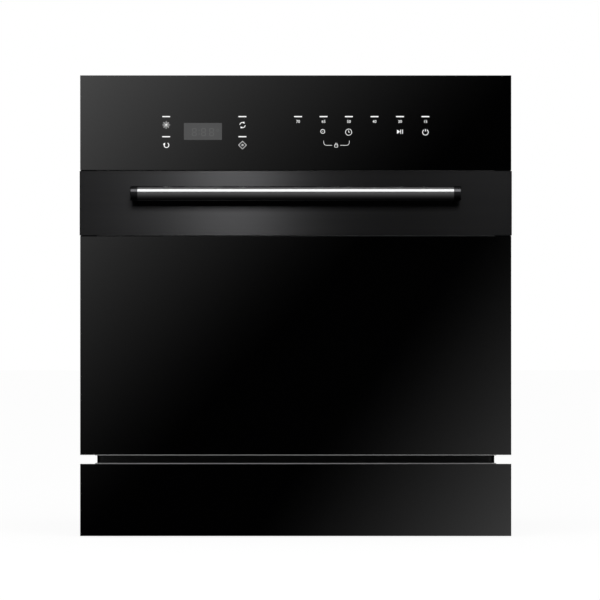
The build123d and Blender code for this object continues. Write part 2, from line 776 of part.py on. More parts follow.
board_y = shell_front + 4
board_half = half_body - 57
board_rise = 42.0
chip_pitch = board_half / 3
with BuildPart() as control_board:
    block((-board_half, board_half), (board_y, board_y + 1.6), (display_z - board_rise, display_z + board_rise))
    for i in (-2, -1, 0, 1, 2):
        x = chip_pitch * i
        block((x - 14, x + 14), (board_y + 1.6, board_y + 8), (display_z - 10, display_z + 10))
save(control_board.part, "control_board")

with BuildPart() as display_module:
    block(
        (display_x - display_width / 2 + running, display_x + display_width / 2 - running),
        (shell_front, board_y),
        (display_z - display_height / 2 + running, display_z + display_height / 2 - running),
    )
save(display_module.part, "display_module")

with BuildPart() as door_latch:
    block((-26, 26), (flange_face - 16, flange_face - 1), (strike_z - 16, housing_high - 2))
    block((-9, 9), (flange_face - 12, flange_face), (strike_z - 3, strike_z + 3), mode=Mode.SUBTRACT)
save(door_latch.part, "door_latch")

# Detergent dispenser in the door liner
chamber_x = (-66.0, -2.0)
chamber_z = (dispenser_z[0] + 12, dispenser_z[1] - 10)
cap_x, cap_z, rinse_radius = 42.0, (dispenser_z[0] + dispenser_z[1]) / 2, 16.0
bezel = 2.5
with BuildPart() as dispenser_body:
    block(dispenser_x, (liner_face - 28, liner_face), dispenser_z)
    block(
        (dispenser_x[0] - 5, dispenser_x[1] + 5),
        (liner_face, liner_face + bezel),
        (dispenser_z[0] - 5, dispenser_z[1] + 5),
    )
    fillet(dispenser_body.faces().sort_by(Axis.Y)[-1].edges(), 1.5)
    block(chamber_x, (liner_face - 24, liner_face + bezel + 1), chamber_z, mode=Mode.SUBTRACT)
    rod_y(cap_x, (liner_face - 12, liner_face + bezel + 1), cap_z, rinse_radius - 4, mode=Mode.SUBTRACT)
    for x in (chamber_x[0] - 7, chamber_x[1] + 5):
        block((x, x + 2), (liner_face + bezel, liner_face + bezel + 3), (dispenser_z[0], dispenser_z[1]))
save(dispenser_body.part, "dispenser_body")

lid_travel = 42.0
with BuildPart() as dispenser_lid:
    block(
        (chamber_x[0] - 4.4, chamber_x[1] + 4.4),
        (liner_face + bezel + running, liner_face + bezel + 2.6),
        (chamber_z[0] - 6, chamber_z[1] + 6),
    )
    fillet(dispenser_lid.edges().filter_by(Axis.Y), 3)
    for i in range(3):
        z = chamber_z[0] + 6 + 5 * i
        block(
            (chamber_x[0] + 12, chamber_x[1] - 12),
            (liner_face + bezel + 2, liner_face + bezel + 3.6),
            (z, z + 2),
        )
save(dispenser_lid.part, "dispenser_lid")

with BuildPart() as rinse_cap:
    rod_y(cap_x, (liner_face - 8, liner_face + bezel + running), cap_z, rinse_radius - 4 - running)
    rod_y(cap_x, (liner_face + bezel + running, liner_face + bezel + 3), cap_z, rinse_radius)
    block(
        (cap_x - 2, cap_x + 2),
        (liner_face + bezel + 2, liner_face + bezel + 6),
        (cap_z - rinse_radius + 3, cap_z + rinse_radius - 3),
    )
save(rinse_cap.part, "rinse_cap")


# Racks: welded wire baskets
def wire_rack(floor, rim, middle, rows, tine_height):
    """Straight wires laid face to face, a rim on the uprights and a hoop inside them."""
    y_first = rack_front + wire / 2
    y_last = rack_rear - wire / 2
    cross_y = [y_first + rack_pitch * (i + 1) for i in range(cross_wires)]
    long_x = [long_pitch * (i - (long_wires - 1) / 2) for i in range(long_wires)]
    side_x = half_rack - wire / 2
    flats = wire / 2 / 0.92388
    with BuildPart() as cross:
        with BuildSketch(Plane.YZ.offset(-half_rack)):
            with Locations(*[(y, floor + wire / 2) for y in cross_y]):
                RegularPolygon(flats, 8, rotation=22.5)
        extrude(amount=rack_width)
    with BuildPart() as long:
        with BuildSketch(facing(rack_rear)):
            with Locations(*[(x, floor + 1.5 * wire) for x in long_x]):
                RegularPolygon(flats, 8, rotation=22.5)
        extrude(amount=rack_rear - rack_front)
    with BuildPart() as side_uprights:
        with BuildSketch(Plane.XY.offset(floor + wire)):
            with Locations(*[(x, y) for x in (-side_x, side_x) for y in cross_y]):
                RegularPolygon(flats, 8, rotation=22.5)
        extrude(amount=rim - floor - wire)
    with BuildPart() as end_uprights:
        with BuildSketch(Plane.XY.offset(floor + 2 * wire)):
            with Locations(*[(x, y) for x in long_x for y in (y_first, y_last)]):
                RegularPolygon(flats, 8, rotation=22.5)
        extrude(amount=rim - floor - 2 * wire)
    with BuildPart() as carriers:
        with BuildSketch(Plane.YZ.offset(-half_rack + 2 * wire)):
            with Locations(*[(y, floor + 2.5 * wire) for y in rows]):
                RegularPolygon(flats, 8, rotation=22.5)
        extrude(amount=rack_width - 4 * wire)
    tine_x = [tine_pitch * (i - (tines_per_row - 1) / 2) for i in range(tines_per_row)]
    with BuildPart() as tines:
        with BuildSketch(Plane.XY.offset(floor + 3 * wire)):
            with Locations(*[(x, y) for x in tine_x for y in rows]):
                RegularPolygon(tine / 2, 6)
        extrude(amount=tine_height)
    centre = (rack_front + rack_rear) / 2
    length = rack_rear - rack_front
    with BuildPart() as top_hoop:
        with BuildSketch(Plane.XY.offset(rim)):
            with Locations((0, centre)):
                RectangleRounded(rack_width + 1, length + 1, 14)
                RectangleRounded(rack_width + 1 - 2 * rim_wire, length + 1 - 2 * rim_wire, 9, mode=Mode.SUBTRACT)
        extrude(amount=rim_wire)
        chamfer(top_hoop.faces().group_by(Axis.Z)[-1].edges(), 1.4)
    with BuildPart() as middle_hoop:
        with BuildSketch(Plane.XY.offset(middle)):
            with Locations((0, centre)):
                RectangleRounded(rack_width - 2 * wire, length - 2 * wire, 10)
                RectangleRounded(rack_width - 4 * wire, length - 4 * wire, 6, mode=Mode.SUBTRACT)
        extrude(amount=wire)
    families = (cross, long, side_uprights, end_uprights, carriers, tines, top_hoop, middle_hoop)
    return Compound(children=[family.part for family in families])


tines_per_row = 13
outer_tine_inset = 52.0
tine_pitch = (rack_width - 2 * outer_tine_inset) / (tines_per_row - 1)
plate_rows = [rack_front + wire / 2 + rack_pitch * k for k in (2.6, 4.4, 6.2)]
lower_hoop_z = (lower_floor + lower_rim) / 2
save(wire_rack(lower_floor, lower_rim, lower_hoop_z, plate_rows, 58), "lower_rack")

cup_rows = [rack_front + wire / 2 + rack_pitch * k for k in (1.6, 3.6, 5.6)]
upper_hoop_z = upper_floor + 48
save(wire_rack(upper_floor, upper_rim, upper_hoop_z, cup_rows, 34), "upper_rack")

# Lower rack wheels on axle clips under the outer cross wires
wheel_x = (half_rack + 4.5, half_rack + 4.5 + wheel_width)
axle_z = track_z + running + wheel_radius
wheel_rows = {
    "front": rack_front + wire / 2 + rack_pitch,
    "rear": rack_front + wire / 2 + rack_pitch * cross_wires,
}
with BuildPart() as wheel_clips:
    for y in wheel_rows.values():
        block((half_rack - 9, half_rack + 2.5), (y - 9, y + 9), (axle_z - 6, lower_floor))
        rod_x((half_rack + 2, wheel_x[1] + 1.5), y, axle_z, axle_radius)
    mirror(about=Plane.YZ)
save(wheel_clips.part, "wheel_clips")


def rack_wheel(side, y):
    """A roller with a groove beside its tread."""
    x = sorted((side * wheel_x[0], side * wheel_x[1]))
    with BuildPart() as wheel:
        rod_x(x, y, axle_z, wheel_radius)
        chamfer(wheel.edges().filter_by(GeomType.CIRCLE), 1.2)
        rod_x((x[0] - 1, x[0] + 2.5), y, axle_z, wheel_radius - 3.5, mode=Mode.SUBTRACT)
        rod_x((x[1] - 2.5, x[1] + 1), y, axle_z, wheel_radius - 3.5, mode=Mode.SUBTRACT)
        rod_x(x, y, axle_z, axle_radius + 3.5)
        rod_x((x[0] - 1, x[1] + 1), y, axle_z, axle_radius + running, mode=Mode.SUBTRACT)
    return wheel.part


for row, wheel_y in wheel_rows.items():
    save(rack_wheel(-1, wheel_y), f"wheel_{row}_left")
    save(rack_wheel(1, wheel_y), f"wheel_{row}_right")

# Cutlery basket standing on the lower rack's floor
basket_inset = 117.0
basket_x = half_rack - basket_inset
basket_y = (rack_front + 2 * wire + 1, rack_front + 2 * wire + 78)
basket_z = lower_floor + 2 * wire + running
basket_height = 114.0
basket_top = basket_z + basket_height
with BuildPart() as cutlery_basket:
    block((-basket_x, basket_x), basket_y, (basket_z, basket_z + basket_height))
    fillet(cutlery_basket.edges().filter_by(Axis.Z), 6)
    for x in ((2 - basket_x, -1), (1, basket_x - 2)):
        block(x, (basket_y[0] + 2, basket_y[1] - 2), (basket_z + 2, basket_z + 200), mode=Mode.SUBTRACT)
    middle_y = (basket_y[0] + basket_y[1]) / 2
    block((-28, 28), (middle_y - 2, middle_y + 2), (basket_top - 20, basket_top + 34))
    block((-20, 20), basket_y, (basket_top + 10, basket_top + 27), mode=Mode.SUBTRACT)
    with BuildSketch(facing(basket_y[1] + 1)):
        with Locations((0, basket_z + basket_height / 2)):
            with GridLocations(21, 34, 10, 3):
                Rectangle(9, 24)
    extrude(amount=basket_y[1] - basket_y[0] + 2, mode=Mode.SUBTRACT)
save(cutlery_basket.part, "cutlery_basket")


# Spray arms: hollow looking blades with nozzles, turning on their hubs
def spray_arm(radius, low, hub, bore):
    with BuildPart() as arm:
        with BuildSketch(Plane.XY.offset(low)):
            with Locations((0, centre_y)):
                Circle(hub + 8)
            with Locations((radius - 14, centre_y), (14 - radius, centre_y)):
                Circle(14)
            make_hull()
        extrude(amount=arm_thickness)
        fillet(arm.faces().sort_by(Axis.Z)[-1].edges(), 3)
        rod_z(0, centre_y, (low - 4, low + arm_thickness + 2), hub)
        for side in (-1, 1):
            for i in range(6):
                x = side * (hub + 16 + i * (radius - hub - 34) / 5)
                with Locations((x, centre_y + side * (3 - i % 2 * 6), low + arm_thickness)):
                    Box(7, 2, 3, rotation=(0, 0, 20 * side), mode=Mode.SUBTRACT)
        rod_z(0, centre_y, (low - 5, low + arm_thickness + 3), bore, mode=Mode.SUBTRACT)
    return arm.part


save(spray_arm(lower_arm_radius, arm_low, 20, hub_radius + running), "lower_spray_arm")

feed_top = upper_floor
feed_low = feed_top - 14
stub_radius = 8.0
upper_arm_low = feed_low - 6.5 - arm_thickness
with BuildPart() as upper_feed_tube:
    block((-12, 12), (centre_y, rack_rear - 4), (feed_low, feed_top))
    fillet(upper_feed_tube.edges().filter_by(Axis.Y), 4)
    rod_z(0, centre_y, (feed_low - 3, feed_top), 19)
    rod_z(0, centre_y, (upper_arm_low - 6, feed_low), stub_radius)
    rod_z(0, centre_y, (upper_arm_low - 12, upper_arm_low - 5), 13)
    rod_y(0, (rack_rear - 24, rack_rear - 2), dock_z, 13.5)
    rod_y(0, (rack_rear - 14, rack_rear), dock_z, dock_bore + play, mode=Mode.SUBTRACT)
save(upper_feed_tube.part, "upper_feed_tube")
save(spray_arm(upper_arm_radius, upper_arm_low, 16, stub_radius + running), "upper_spray_arm")

# Folding cup shelf on the upper rack's left side
knuckle_radius = 3.0
shelf_x = running + knuckle_radius + wire - half_rack
shelf_z = upper_hoop_z + wire + running + knuckle_radius
shelf_width = 74.0
shelf_y = (centre_y - 0.3 * tub_depth, centre_y + 0.15 * tub_depth)
with BuildPart() as cup_shelf:
    rod_y(shelf_x, shelf_y, shelf_z, knuckle_radius)
    block((shelf_x, shelf_x + shelf_width), shelf_y, (shelf_z - 1.5, shelf_z + 1.5))
    with BuildSketch(Plane.XY.offset(shelf_z - 2)):
        with Locations((shelf_x + shelf_width / 2 + 4, (shelf_y[0] + shelf_y[1]) / 2)):
            with GridLocations(0, 29, 1, 6):
                RectangleRounded(shelf_width - 22, 21, 5)
    extrude(amount=4, mode=Mode.SUBTRACT)
save(cup_shelf.part, "cup_shelf")


# Levelling feet
def levelling_foot(x, y):
    with BuildPart() as foot:
        with BuildSketch(Plane.XY):
            with Locations((x, y)):
                Circle(19)
        extrude(amount=6)
        chamfer(foot.edges().group_by(Axis.Z)[-1], 1.8)
        with BuildSketch(Plane.XY.offset(6)):
            with Locations((x, y)):
                RegularPolygon(9, 6)
        extrude(amount=tray_floor_height - running - 6)
        rod_z(x, y, (6, tray_floor_height + boss_height + 16), foot_stem)
    return foot.part


for row, foot_y in (("front", foot_front_y), ("rear", foot_rear_y)):
    save(levelling_foot(-foot_x, foot_y), f"foot_{row}_left")
    save(levelling_foot(foot_x, foot_y), f"foot_{row}_right")

print("hinge axis", hinge_y, hinge_z, "track", track_z, "tub", tub_front, tub_back, tub_top)
print("lower floor", lower_floor, "upper floor", upper_floor, "dock", dock_z, "strike", strike_z)
print("wheels", wheel_rows, axle_z, "filter", filter_x, filter_y, "salt", salt_x, salt_y)
print("handle", handle_y, handle_z, "cap", cap_x, cap_z, "shelf", shelf_x, shelf_z)
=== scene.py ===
import math
import bmesh
import bpy
from mathutils import Matrix, Vector


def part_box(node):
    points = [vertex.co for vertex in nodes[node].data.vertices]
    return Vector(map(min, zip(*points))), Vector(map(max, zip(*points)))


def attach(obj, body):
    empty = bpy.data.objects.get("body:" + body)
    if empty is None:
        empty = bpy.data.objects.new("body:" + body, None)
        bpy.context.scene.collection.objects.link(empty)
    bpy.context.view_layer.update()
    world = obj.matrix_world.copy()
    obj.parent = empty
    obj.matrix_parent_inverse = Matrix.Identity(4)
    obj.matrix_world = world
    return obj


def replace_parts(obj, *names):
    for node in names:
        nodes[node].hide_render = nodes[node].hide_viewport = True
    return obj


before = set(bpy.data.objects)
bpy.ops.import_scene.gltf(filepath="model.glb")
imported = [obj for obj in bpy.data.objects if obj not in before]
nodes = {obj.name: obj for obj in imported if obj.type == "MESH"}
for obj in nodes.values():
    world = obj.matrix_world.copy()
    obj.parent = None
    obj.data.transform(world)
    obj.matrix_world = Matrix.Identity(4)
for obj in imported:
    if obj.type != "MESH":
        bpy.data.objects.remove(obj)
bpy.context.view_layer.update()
print("model loaded,", len(nodes), "nodes")

mm = 0.001  # the frame is in metres

# The photograph looks straight at the front from far away
cameraSet = {"place": (0.0059, -6.229, 0.32726), "lens": 260.86, "sensor": 36.0}
shotLens = bpy.data.cameras.new("shotLens")
shotLens.sensor_width = cameraSet["sensor"]
shotLens.lens = cameraSet["lens"]
shotCamera = bpy.data.objects.new("shotCamera", shotLens)
shotCamera.location = cameraSet["place"]
shotCamera.rotation_euler = (math.pi / 2, 0, 0)
bpy.context.scene.collection.objects.link(shotCamera)
bpy.context.scene.camera = shotCamera
bpy.context.scene.view_settings.view_transform = "Standard"
print("camera placed")


def addNode(tree, kind, values=None, **options):
    made = tree.nodes.new(kind)
    for name, value in options.items():
        setattr(made, name, value)
    for name, value in (values or {}).items():
        if isinstance(value, bpy.types.NodeSocket):
            tree.links.new(value, made.inputs[name])
        else:
            made.inputs[name].default_value = value
    return made


def mathNode(tree, operation, first, second=0.0, clamp=False):
    made = addNode(tree, "ShaderNodeMath", operation=operation, use_clamp=clamp)
    for slot, value in zip(made.inputs, (first, second)):
        if isinstance(value, bpy.types.NodeSocket):
            tree.links.new(value, slot)
        else:
            slot.default_value = value
    return made.outputs[0]


def newGroup(name, inputs, outputs):
    group = bpy.data.node_groups.new(name, "ShaderNodeTree")
    for label, kind, value in inputs:
        socket = group.interface.new_socket(label, in_out="INPUT", socket_type=kind)
        if value is not None:
            socket.default_value = value
    for label, kind in outputs:
        group.interface.new_socket(label, in_out="OUTPUT", socket_type=kind)
    return group, group.nodes.new("NodeGroupInput"), group.nodes.new("NodeGroupOutput")


def makeBrushGrain():
    # Fine lines drawn out along one direction, with a slower drift of tone between them
    group, start, end = newGroup(
        "brushGrain",
        [
            ("Vector", "NodeSocketVector", None),
            ("Lines", "NodeSocketVector", (12.0, 900.0, 900.0)),
            ("Drift", "NodeSocketVector", (2.0, 60.0, 60.0)),
        ],
        [("Height", "NodeSocketFloat"), ("Tone", "NodeSocketFloat")],
    )
    fine = addNode(group, "ShaderNodeVectorMath", operation="MULTIPLY")
    slow = addNode(group, "ShaderNodeVectorMath", operation="MULTIPLY")
    for stretched, label in ((fine, "Lines"), (slow, "Drift")):
        group.links.new(start.outputs["Vector"], stretched.inputs[0])
        group.links.new(start.outputs[label], stretched.inputs[1])
    lines = addNode(group, "ShaderNodeTexNoise", {"Vector": fine.outputs[0], "Scale": 1.0, "Detail": 3.0})
    drift = addNode(group, "ShaderNodeTexNoise", {"Vector": slow.outputs[0], "Scale": 1.0, "Detail": 2.0})
    share = 0.6  # of the fine lines in the tone
    tone = mathNode(group, "ADD", mathNode(group, "MULTIPLY", lines.outputs["Fac"], share),
                    mathNode(group, "MULTIPLY", drift.outputs["Fac"], 1 - share))
    group.links.new(lines.outputs["Fac"], end.inputs["Height"])
    group.links.new(tone, end.inputs["Tone"])
    return group


def makeMouldGrain():
    # The even pebble of moulded plastic or paint, and large faint blotches
    group, start, end = newGroup(
        "mouldGrain",
        [
            ("Vector", "NodeSocketVector", None),
            ("Pebble", "NodeSocketFloat", 1400.0),
            ("Blotch", "NodeSocketFloat", 18.0),
        ],
        [("Height", "NodeSocketFloat"), ("Tone", "NodeSocketFloat")],
    )
    pebble = addNode(group, "ShaderNodeTexNoise", {
        "Vector": start.outputs["Vector"], "Scale": start.outputs["Pebble"], "Detail": 2.0})
    blotch = addNode(group, "ShaderNodeTexNoise", {
        "Vector": start.outputs["Vector"], "Scale": start.outputs["Blotch"], "Detail": 4.0})
    group.links.new(pebble.outputs["Fac"], end.inputs["Height"])
    group.links.new(blotch.outputs["Fac"], end.inputs["Tone"])
    return group


def makeTouchFilm():
    # Faint cloudy film left by wiping and by fingers, and a few specks of dust
    group, start, end = newGroup(
        "touchFilm",
        [
            ("Vector", "NodeSocketVector", None),
            ("Cloud", "NodeSocketFloat", 9.0),
            ("Speck", "NodeSocketFloat", 700.0),
        ],
        [("Film", "NodeSocketFloat"), ("Dust", "NodeSocketFloat")],
    )
    cloud = addNode(group, "ShaderNodeTexNoise", {
        "Vector": start.outputs["Vector"], "Scale": start.outputs["Cloud"], "Detail": 5.0, "Distortion": 0.6})
    speck = addNode(group, "ShaderNodeTexVoronoi", {
        "Vector": start.outputs["Vector"], "Scale": start.outputs["Speck"]})
    film = addNode(group, "ShaderNodeMapRange", {
        "Value": cloud.outputs["Fac"], "From Min": 0.45, "From Max": 0.75})
    dust = addNode(group, "ShaderNodeMapRange", {
        "Value": speck.outputs["Distance"], "From Min": 0.12, "From Max": 0.05})
    group.links.new(film.outputs["Result"], end.inputs["Film"])
    group.links.new(dust.outputs["Result"], end.inputs["Dust"])
    return group


brushGrain = makeBrushGrain()
mouldGrain = makeMouldGrain()
touchFilm = makeTouchFilm()
print("shared grain groups made")


def startFinish(name):
    finish = bpy.data.materials.new(name)
    finish.use_nodes = True
    tree = finish.node_tree
    shader = tree.nodes["Principled BSDF"]
    place = addNode(tree, "ShaderNodeTexCoord").outputs["Object"]
    return finish, tree, shader, place


def grainNode(tree, group, place, values):
    made = addNode(tree, "ShaderNodeGroup", node_tree=group)
    tree.links.new(place, made.inputs["Vector"])
    for name, value in values.items():
        made.inputs[name].default_value = value
    return made


def spread(tree, value, low, high):
    # Noise keeps near its middle, so that part is drawn out over the whole range
    made = addNode(tree, "ShaderNodeMapRange", {
        "Value": value, "From Min": 0.3, "From Max": 0.7, "To Min": low, "To Max": high})
    return made.outputs["Result"]


def twoTone(tree, value, first, second):
    made = addNode(tree, "ShaderNodeMix", data_type="RGBA")
    tree.links.new(value, made.inputs[0])
    made.inputs[6].default_value = (*first, 1)
    made.inputs[7].default_value = (*second, 1)
    return made.outputs[2]


def addBump(tree, shader, height, strength, depth):
    bump = addNode(tree, "ShaderNodeBump", {"Height": height, "Strength": strength, "Distance": depth})
    tree.links.new(bump.outputs["Normal"], shader.inputs["Normal"])


def makeBlackGlass(name, groundHighlightSide, groundHighlightTone):
    # Back-painted black glass: a deep mirror with a trace of film. Its ground edge is coloured pale only on the
    # chamfer that looks down for a side of -1, up for a side of 1, and isn't told apart for 0; that one-sided
    # pale edge is partly a real ground-glass look and partly a painted highlight standing in for a lit edge
    # line
    look = {"colour": (0.0009, 0.0009, 0.001), "dust": (0.0022, 0.0022, 0.0023), "clear": 0.018, "film": 0.05,
            "tilt": 0.3, "groundRough": 0.5}
    finish, tree, shader, place = startFinish(name)
    film = grainNode(tree, touchFilm, place, {"Cloud": 7.0, "Speck": 260.0})
    facing = addNode(tree, "ShaderNodeSeparateXYZ", {"Vector": place.node.outputs["Normal"]})
    lean = mathNode(tree, "MULTIPLY", facing.outputs["Z"], groundHighlightSide)
    # painted highlight in part: only the chamfer facing the chosen way gets the pale ground-edge colour, as if
    # lit there
    edge = mathNode(tree, "GREATER_THAN", lean, look["tilt"])
    face = twoTone(tree, film.outputs["Dust"], look["colour"], look["dust"])
    both = addNode(tree, "ShaderNodeMix", data_type="RGBA")
    tree.links.new(edge, both.inputs[0])
    tree.links.new(face, both.inputs[6])
    both.inputs[7].default_value = (groundHighlightTone, groundHighlightTone, groundHighlightTone, 1)
    tree.links.new(both.outputs[2], shader.inputs["Base Color"])
    rough = addNode(tree, "ShaderNodeMapRange", {
        "Value": film.outputs["Film"], "To Min": look["clear"], "To Max": look["film"]})
    roughEdge = mathNode(tree, "MULTIPLY", edge, look["groundRough"])
    tree.links.new(mathNode(tree, "ADD", rough.outputs["Result"], roughEdge), shader.inputs["Roughness"])
    shader.inputs["IOR"].default_value = 1.5
    return finish


def makeBrushedBlack():
    # Black steel brushed along the width, so a lamp spreads into an upright glow
    look = {"dark": (0.016, 0.016, 0.0165), "light": (0.02, 0.02, 0.0205), "roughness": (0.28, 0.34),
            "bump": 0.12, "depth": 0.00004, "drawnOut": 0.9}
    finish, tree, shader, place = startFinish("brushedBlack")
    grain = grainNode(tree, brushGrain, place, {"Lines": (6.0, 1100.0, 1100.0), "Drift": (1.2, 90.0, 90.0)})
    tone = spread(tree, grain.outputs["Tone"], 0.0, 1.0)
    tree.links.new(twoTone(tree, tone, look["dark"], look["light"]), shader.inputs["Base Color"])
    tree.links.new(spread(tree, grain.outputs["Tone"], *look["roughness"]), shader.inputs["Roughness"])
    addBump(tree, shader, grain.outputs["Height"], look["bump"], look["depth"])
    along = addNode(tree, "ShaderNodeTangent", direction_type="RADIAL", axis="X")
    tree.links.new(along.outputs["Tangent"], shader.inputs["Tangent"])
    shader.inputs["Metallic"].default_value = 1.0
    shader.inputs["Anisotropic"].default_value = look["drawnOut"]
    return finish


def makeBrightBar():
    # The handle's tube, brushed fine enough to draw one sharp line of light
    look = {"dark": (0.72, 0.72, 0.73), "light": (0.78, 0.78, 0.79), "roughness": (0.15, 0.18),
            "bump": 0.03, "depth": 0.00003}
    finish, tree, shader, place = startFinish("brightBrushedSteel")
    grain = grainNode(tree, brushGrain, place, {"Lines": (9.0, 1300.0, 1300.0), "Drift": (2.0, 240.0, 240.0)})
    tone = spread(tree, grain.outputs["Tone"], 0.0, 1.0)
    tree.links.new(twoTone(tree, tone, look["dark"], look["light"]), shader.inputs["Base Color"])
    tree.links.new(spread(tree, grain.outputs["Tone"], *look["roughness"]), shader.inputs["Roughness"])
    addBump(tree, shader, grain.outputs["Height"], look["bump"], look["depth"])
    shader.inputs["Metallic"].default_value = 1.0
    return finish


def makeBlackChrome():
    # Dark plating of the handle's posts
    look = {"colour": (0.11, 0.11, 0.114), "worn": (0.14, 0.14, 0.144), "roughness": (0.13, 0.18)}
    finish, tree, shader, place = startFinish("blackChrome")
    film = grainNode(tree, touchFilm, place, {"Cloud": 60.0, "Speck": 900.0})
    tone = twoTone(tree, film.outputs["Film"], look["colour"], look["worn"])
    tree.links.new(tone, shader.inputs["Base Color"])
    rough = addNode(tree, "ShaderNodeMapRange", {
        "Value": film.outputs["Film"], "To Min": look["roughness"][0], "To Max": look["roughness"][1]})
    tree.links.new(rough.outputs["Result"], shader.inputs["Roughness"])
    shader.inputs["Metallic"].default_value = 1.0
    return finish


def makeSatinSteel(name, lines, drift, roughness):
    # Bright stainless sheet with a fine grain, as in a tub
    look = {"dark": (0.6, 0.605, 0.61), "light": (0.68, 0.685, 0.69), "metal": 0.72, "filmRough": 0.08,
            "bump": 0.15, "depth": 0.00004}
    finish, tree, shader, place = startFinish(name)
    grain = grainNode(tree, brushGrain, place, {"Lines": lines, "Drift": drift})
    film = grainNode(tree, touchFilm, place, {"Cloud": 14.0, "Speck": 300.0})
    tone = spread(tree, grain.outputs["Tone"], 0.0, 1.0)
    tree.links.new(twoTone(tree, tone, look["dark"], look["light"]), shader.inputs["Base Color"])
    rough = mathNode(tree, "ADD", spread(tree, grain.outputs["Tone"], *roughness),
                     mathNode(tree, "MULTIPLY", film.outputs["Film"], look["filmRough"]))
    tree.links.new(rough, shader.inputs["Roughness"])
    addBump(tree, shader, grain.outputs["Height"], look["bump"], look["depth"])
    shader.inputs["Metallic"].default_value = look["metal"]
    return finish


def makeZincSheet():
    # Galvanised sheet: crystals that differ in tone and in gloss
    look = {"dark": (0.36, 0.37, 0.385), "light": (0.56, 0.57, 0.58), "roughness": (0.3, 0.5), "metal": 0.9,
            "crystal": 160.0, "warp": 90.0, "warpReach": 0.008, "bump": 0.1, "depth": 0.00005}
    finish, tree, shader, place = startFinish("zincSheet")
    warped = addNode(tree, "ShaderNodeTexNoise", {"Vector": place, "Scale": look["warp"], "Detail": 2.0})
    shifted = addNode(tree, "ShaderNodeVectorMath", operation="MULTIPLY_ADD")
    tree.links.new(warped.outputs["Color"], shifted.inputs[0])
    shifted.inputs[1].default_value = (look["warpReach"],) * 3
    tree.links.new(place, shifted.inputs[2])
    crystals = addNode(tree, "ShaderNodeTexVoronoi", {"Vector": shifted.outputs[0], "Scale": look["crystal"]})
    shade = addNode(tree, "ShaderNodeSeparateColor", {"Color": crystals.outputs["Color"]})
    grain = grainNode(tree, mouldGrain, place, {"Pebble": 900.0, "Blotch": 12.0})
    tree.links.new(twoTone(tree, shade.outputs[0], look["dark"], look["light"]), shader.inputs["Base Color"])
    rough = addNode(tree, "ShaderNodeMapRange", {
        "Value": shade.outputs[1], "To Min": look["roughness"][0], "To Max": look["roughness"][1]})
    tree.links.new(rough.outputs["Result"], shader.inputs["Roughness"])
    addBump(tree, shader, grain.outputs["Height"], look["bump"], look["depth"])
    shader.inputs["Metallic"].default_value = look["metal"]
    return finish


def makeMoulded(name, dark, light, roughness, pebble=1400.0, depth=0.00006, bump=0.25, paintedGlow=0.0):
    # Moulded plastic, rubber, paint or ink, told apart by colour, gloss, pebble and a painted glow given by
    # emission
    finish, tree, shader, place = startFinish(name)
    grain = grainNode(tree, mouldGrain, place, {"Pebble": pebble, "Blotch": 16.0})
    tone = spread(tree, grain.outputs["Tone"], 0.0, 1.0)
    tree.links.new(twoTone(tree, tone, dark, light), shader.inputs["Base Color"])
    tree.links.new(spread(tree, grain.outputs["Tone"], *roughness), shader.inputs["Roughness"])
    addBump(tree, shader, grain.outputs["Height"], bump, depth)
    # painted glow: emission makes the part shine though no lamp stands behind it
    shader.inputs["Emission Color"].default_value = (1, 1, 1, 1)
    shader.inputs["Emission Strength"].default_value = paintedGlow
    return finish


def makeBoard():
    # Green board with copper tracks under the lacquer; everything that stands off it is black
    look = {"lacquer": (0.012, 0.09, 0.035), "track": (0.03, 0.16, 0.06), "chip": (0.012, 0.012, 0.013),
            "roughness": (0.25, 0.55), "pitch": 60.0, "trackWidth": 0.035, "face": -0.2193}
    finish, tree, shader, place = startFinish("boardLacquer")
    turned = addNode(tree, "ShaderNodeMapping", {"Vector": place, "Rotation": (math.pi / 2, 0, 0)})
    tracks = addNode(tree, "ShaderNodeTexBrick", {
        "Vector": turned.outputs[0], "Scale": look["pitch"], "Mortar Size": look["trackWidth"],
        "Color1": (0, 0, 0, 1), "Color2": (0, 0, 0, 1), "Mortar": (1, 1, 1, 1)})
    apart = addNode(tree, "ShaderNodeSeparateXYZ", {"Vector": place})
    raised = mathNode(tree, "GREATER_THAN", apart.outputs["Y"], look["face"])
    green = twoTone(tree, tracks.outputs["Fac"], look["lacquer"], look["track"])
    mixed = addNode(tree, "ShaderNodeMix", data_type="RGBA")
    tree.links.new(raised, mixed.inputs[0])
    tree.links.new(green, mixed.inputs[6])
    mixed.inputs[7].default_value = (*look["chip"], 1)
    tree.links.new(mixed.outputs[2], shader.inputs["Base Color"])
    rough = addNode(tree, "ShaderNodeMapRange", {
        "Value": raised, "To Min": look["roughness"][0], "To Max": look["roughness"][1]})
    tree.links.new(rough.outputs["Result"], shader.inputs["Roughness"])
    return finish


controlGlass = makeBlackGlass("controlGlass", 0.0, 0.5)
# the door glass's lower chamfer and the kick glass's upper chamfer get the pale edge colour, partly a painted
# highlight
doorGlass = makeBlackGlass("doorGlass", -1.0, 0.5)
kickGlass = makeBlackGlass("kickGlass", 1.0, 0.05)
brushedBlack = makeBrushedBlack()
brightBar = makeBrightBar()
blackChrome = makeBlackChrome()
tubSteel = makeSatinSteel("tubSteel", (700.0, 700.0, 8.0), (60.0, 60.0, 2.0), (0.3, 0.36))
railSteel = makeSatinSteel("railSteel", (900.0, 10.0, 900.0), (200.0, 3.0, 200.0), (0.22, 0.32))
zincSheet = makeZincSheet()
greyPaint = makeMoulded("greyPaint", (0.5, 0.5, 0.5), (0.56, 0.56, 0.56), (0.4, 0.5),
                        pebble=700.0, depth=0.0001)
blackPaint = makeMoulded("blackPaint", (0.012, 0.012, 0.013), (0.015, 0.015, 0.016), (0.4, 0.45),
                         pebble=700.0, depth=0.0001)
greyPlastic = makeMoulded("greyPlastic", (0.34, 0.35, 0.36), (0.4, 0.41, 0.42), (0.38, 0.5))
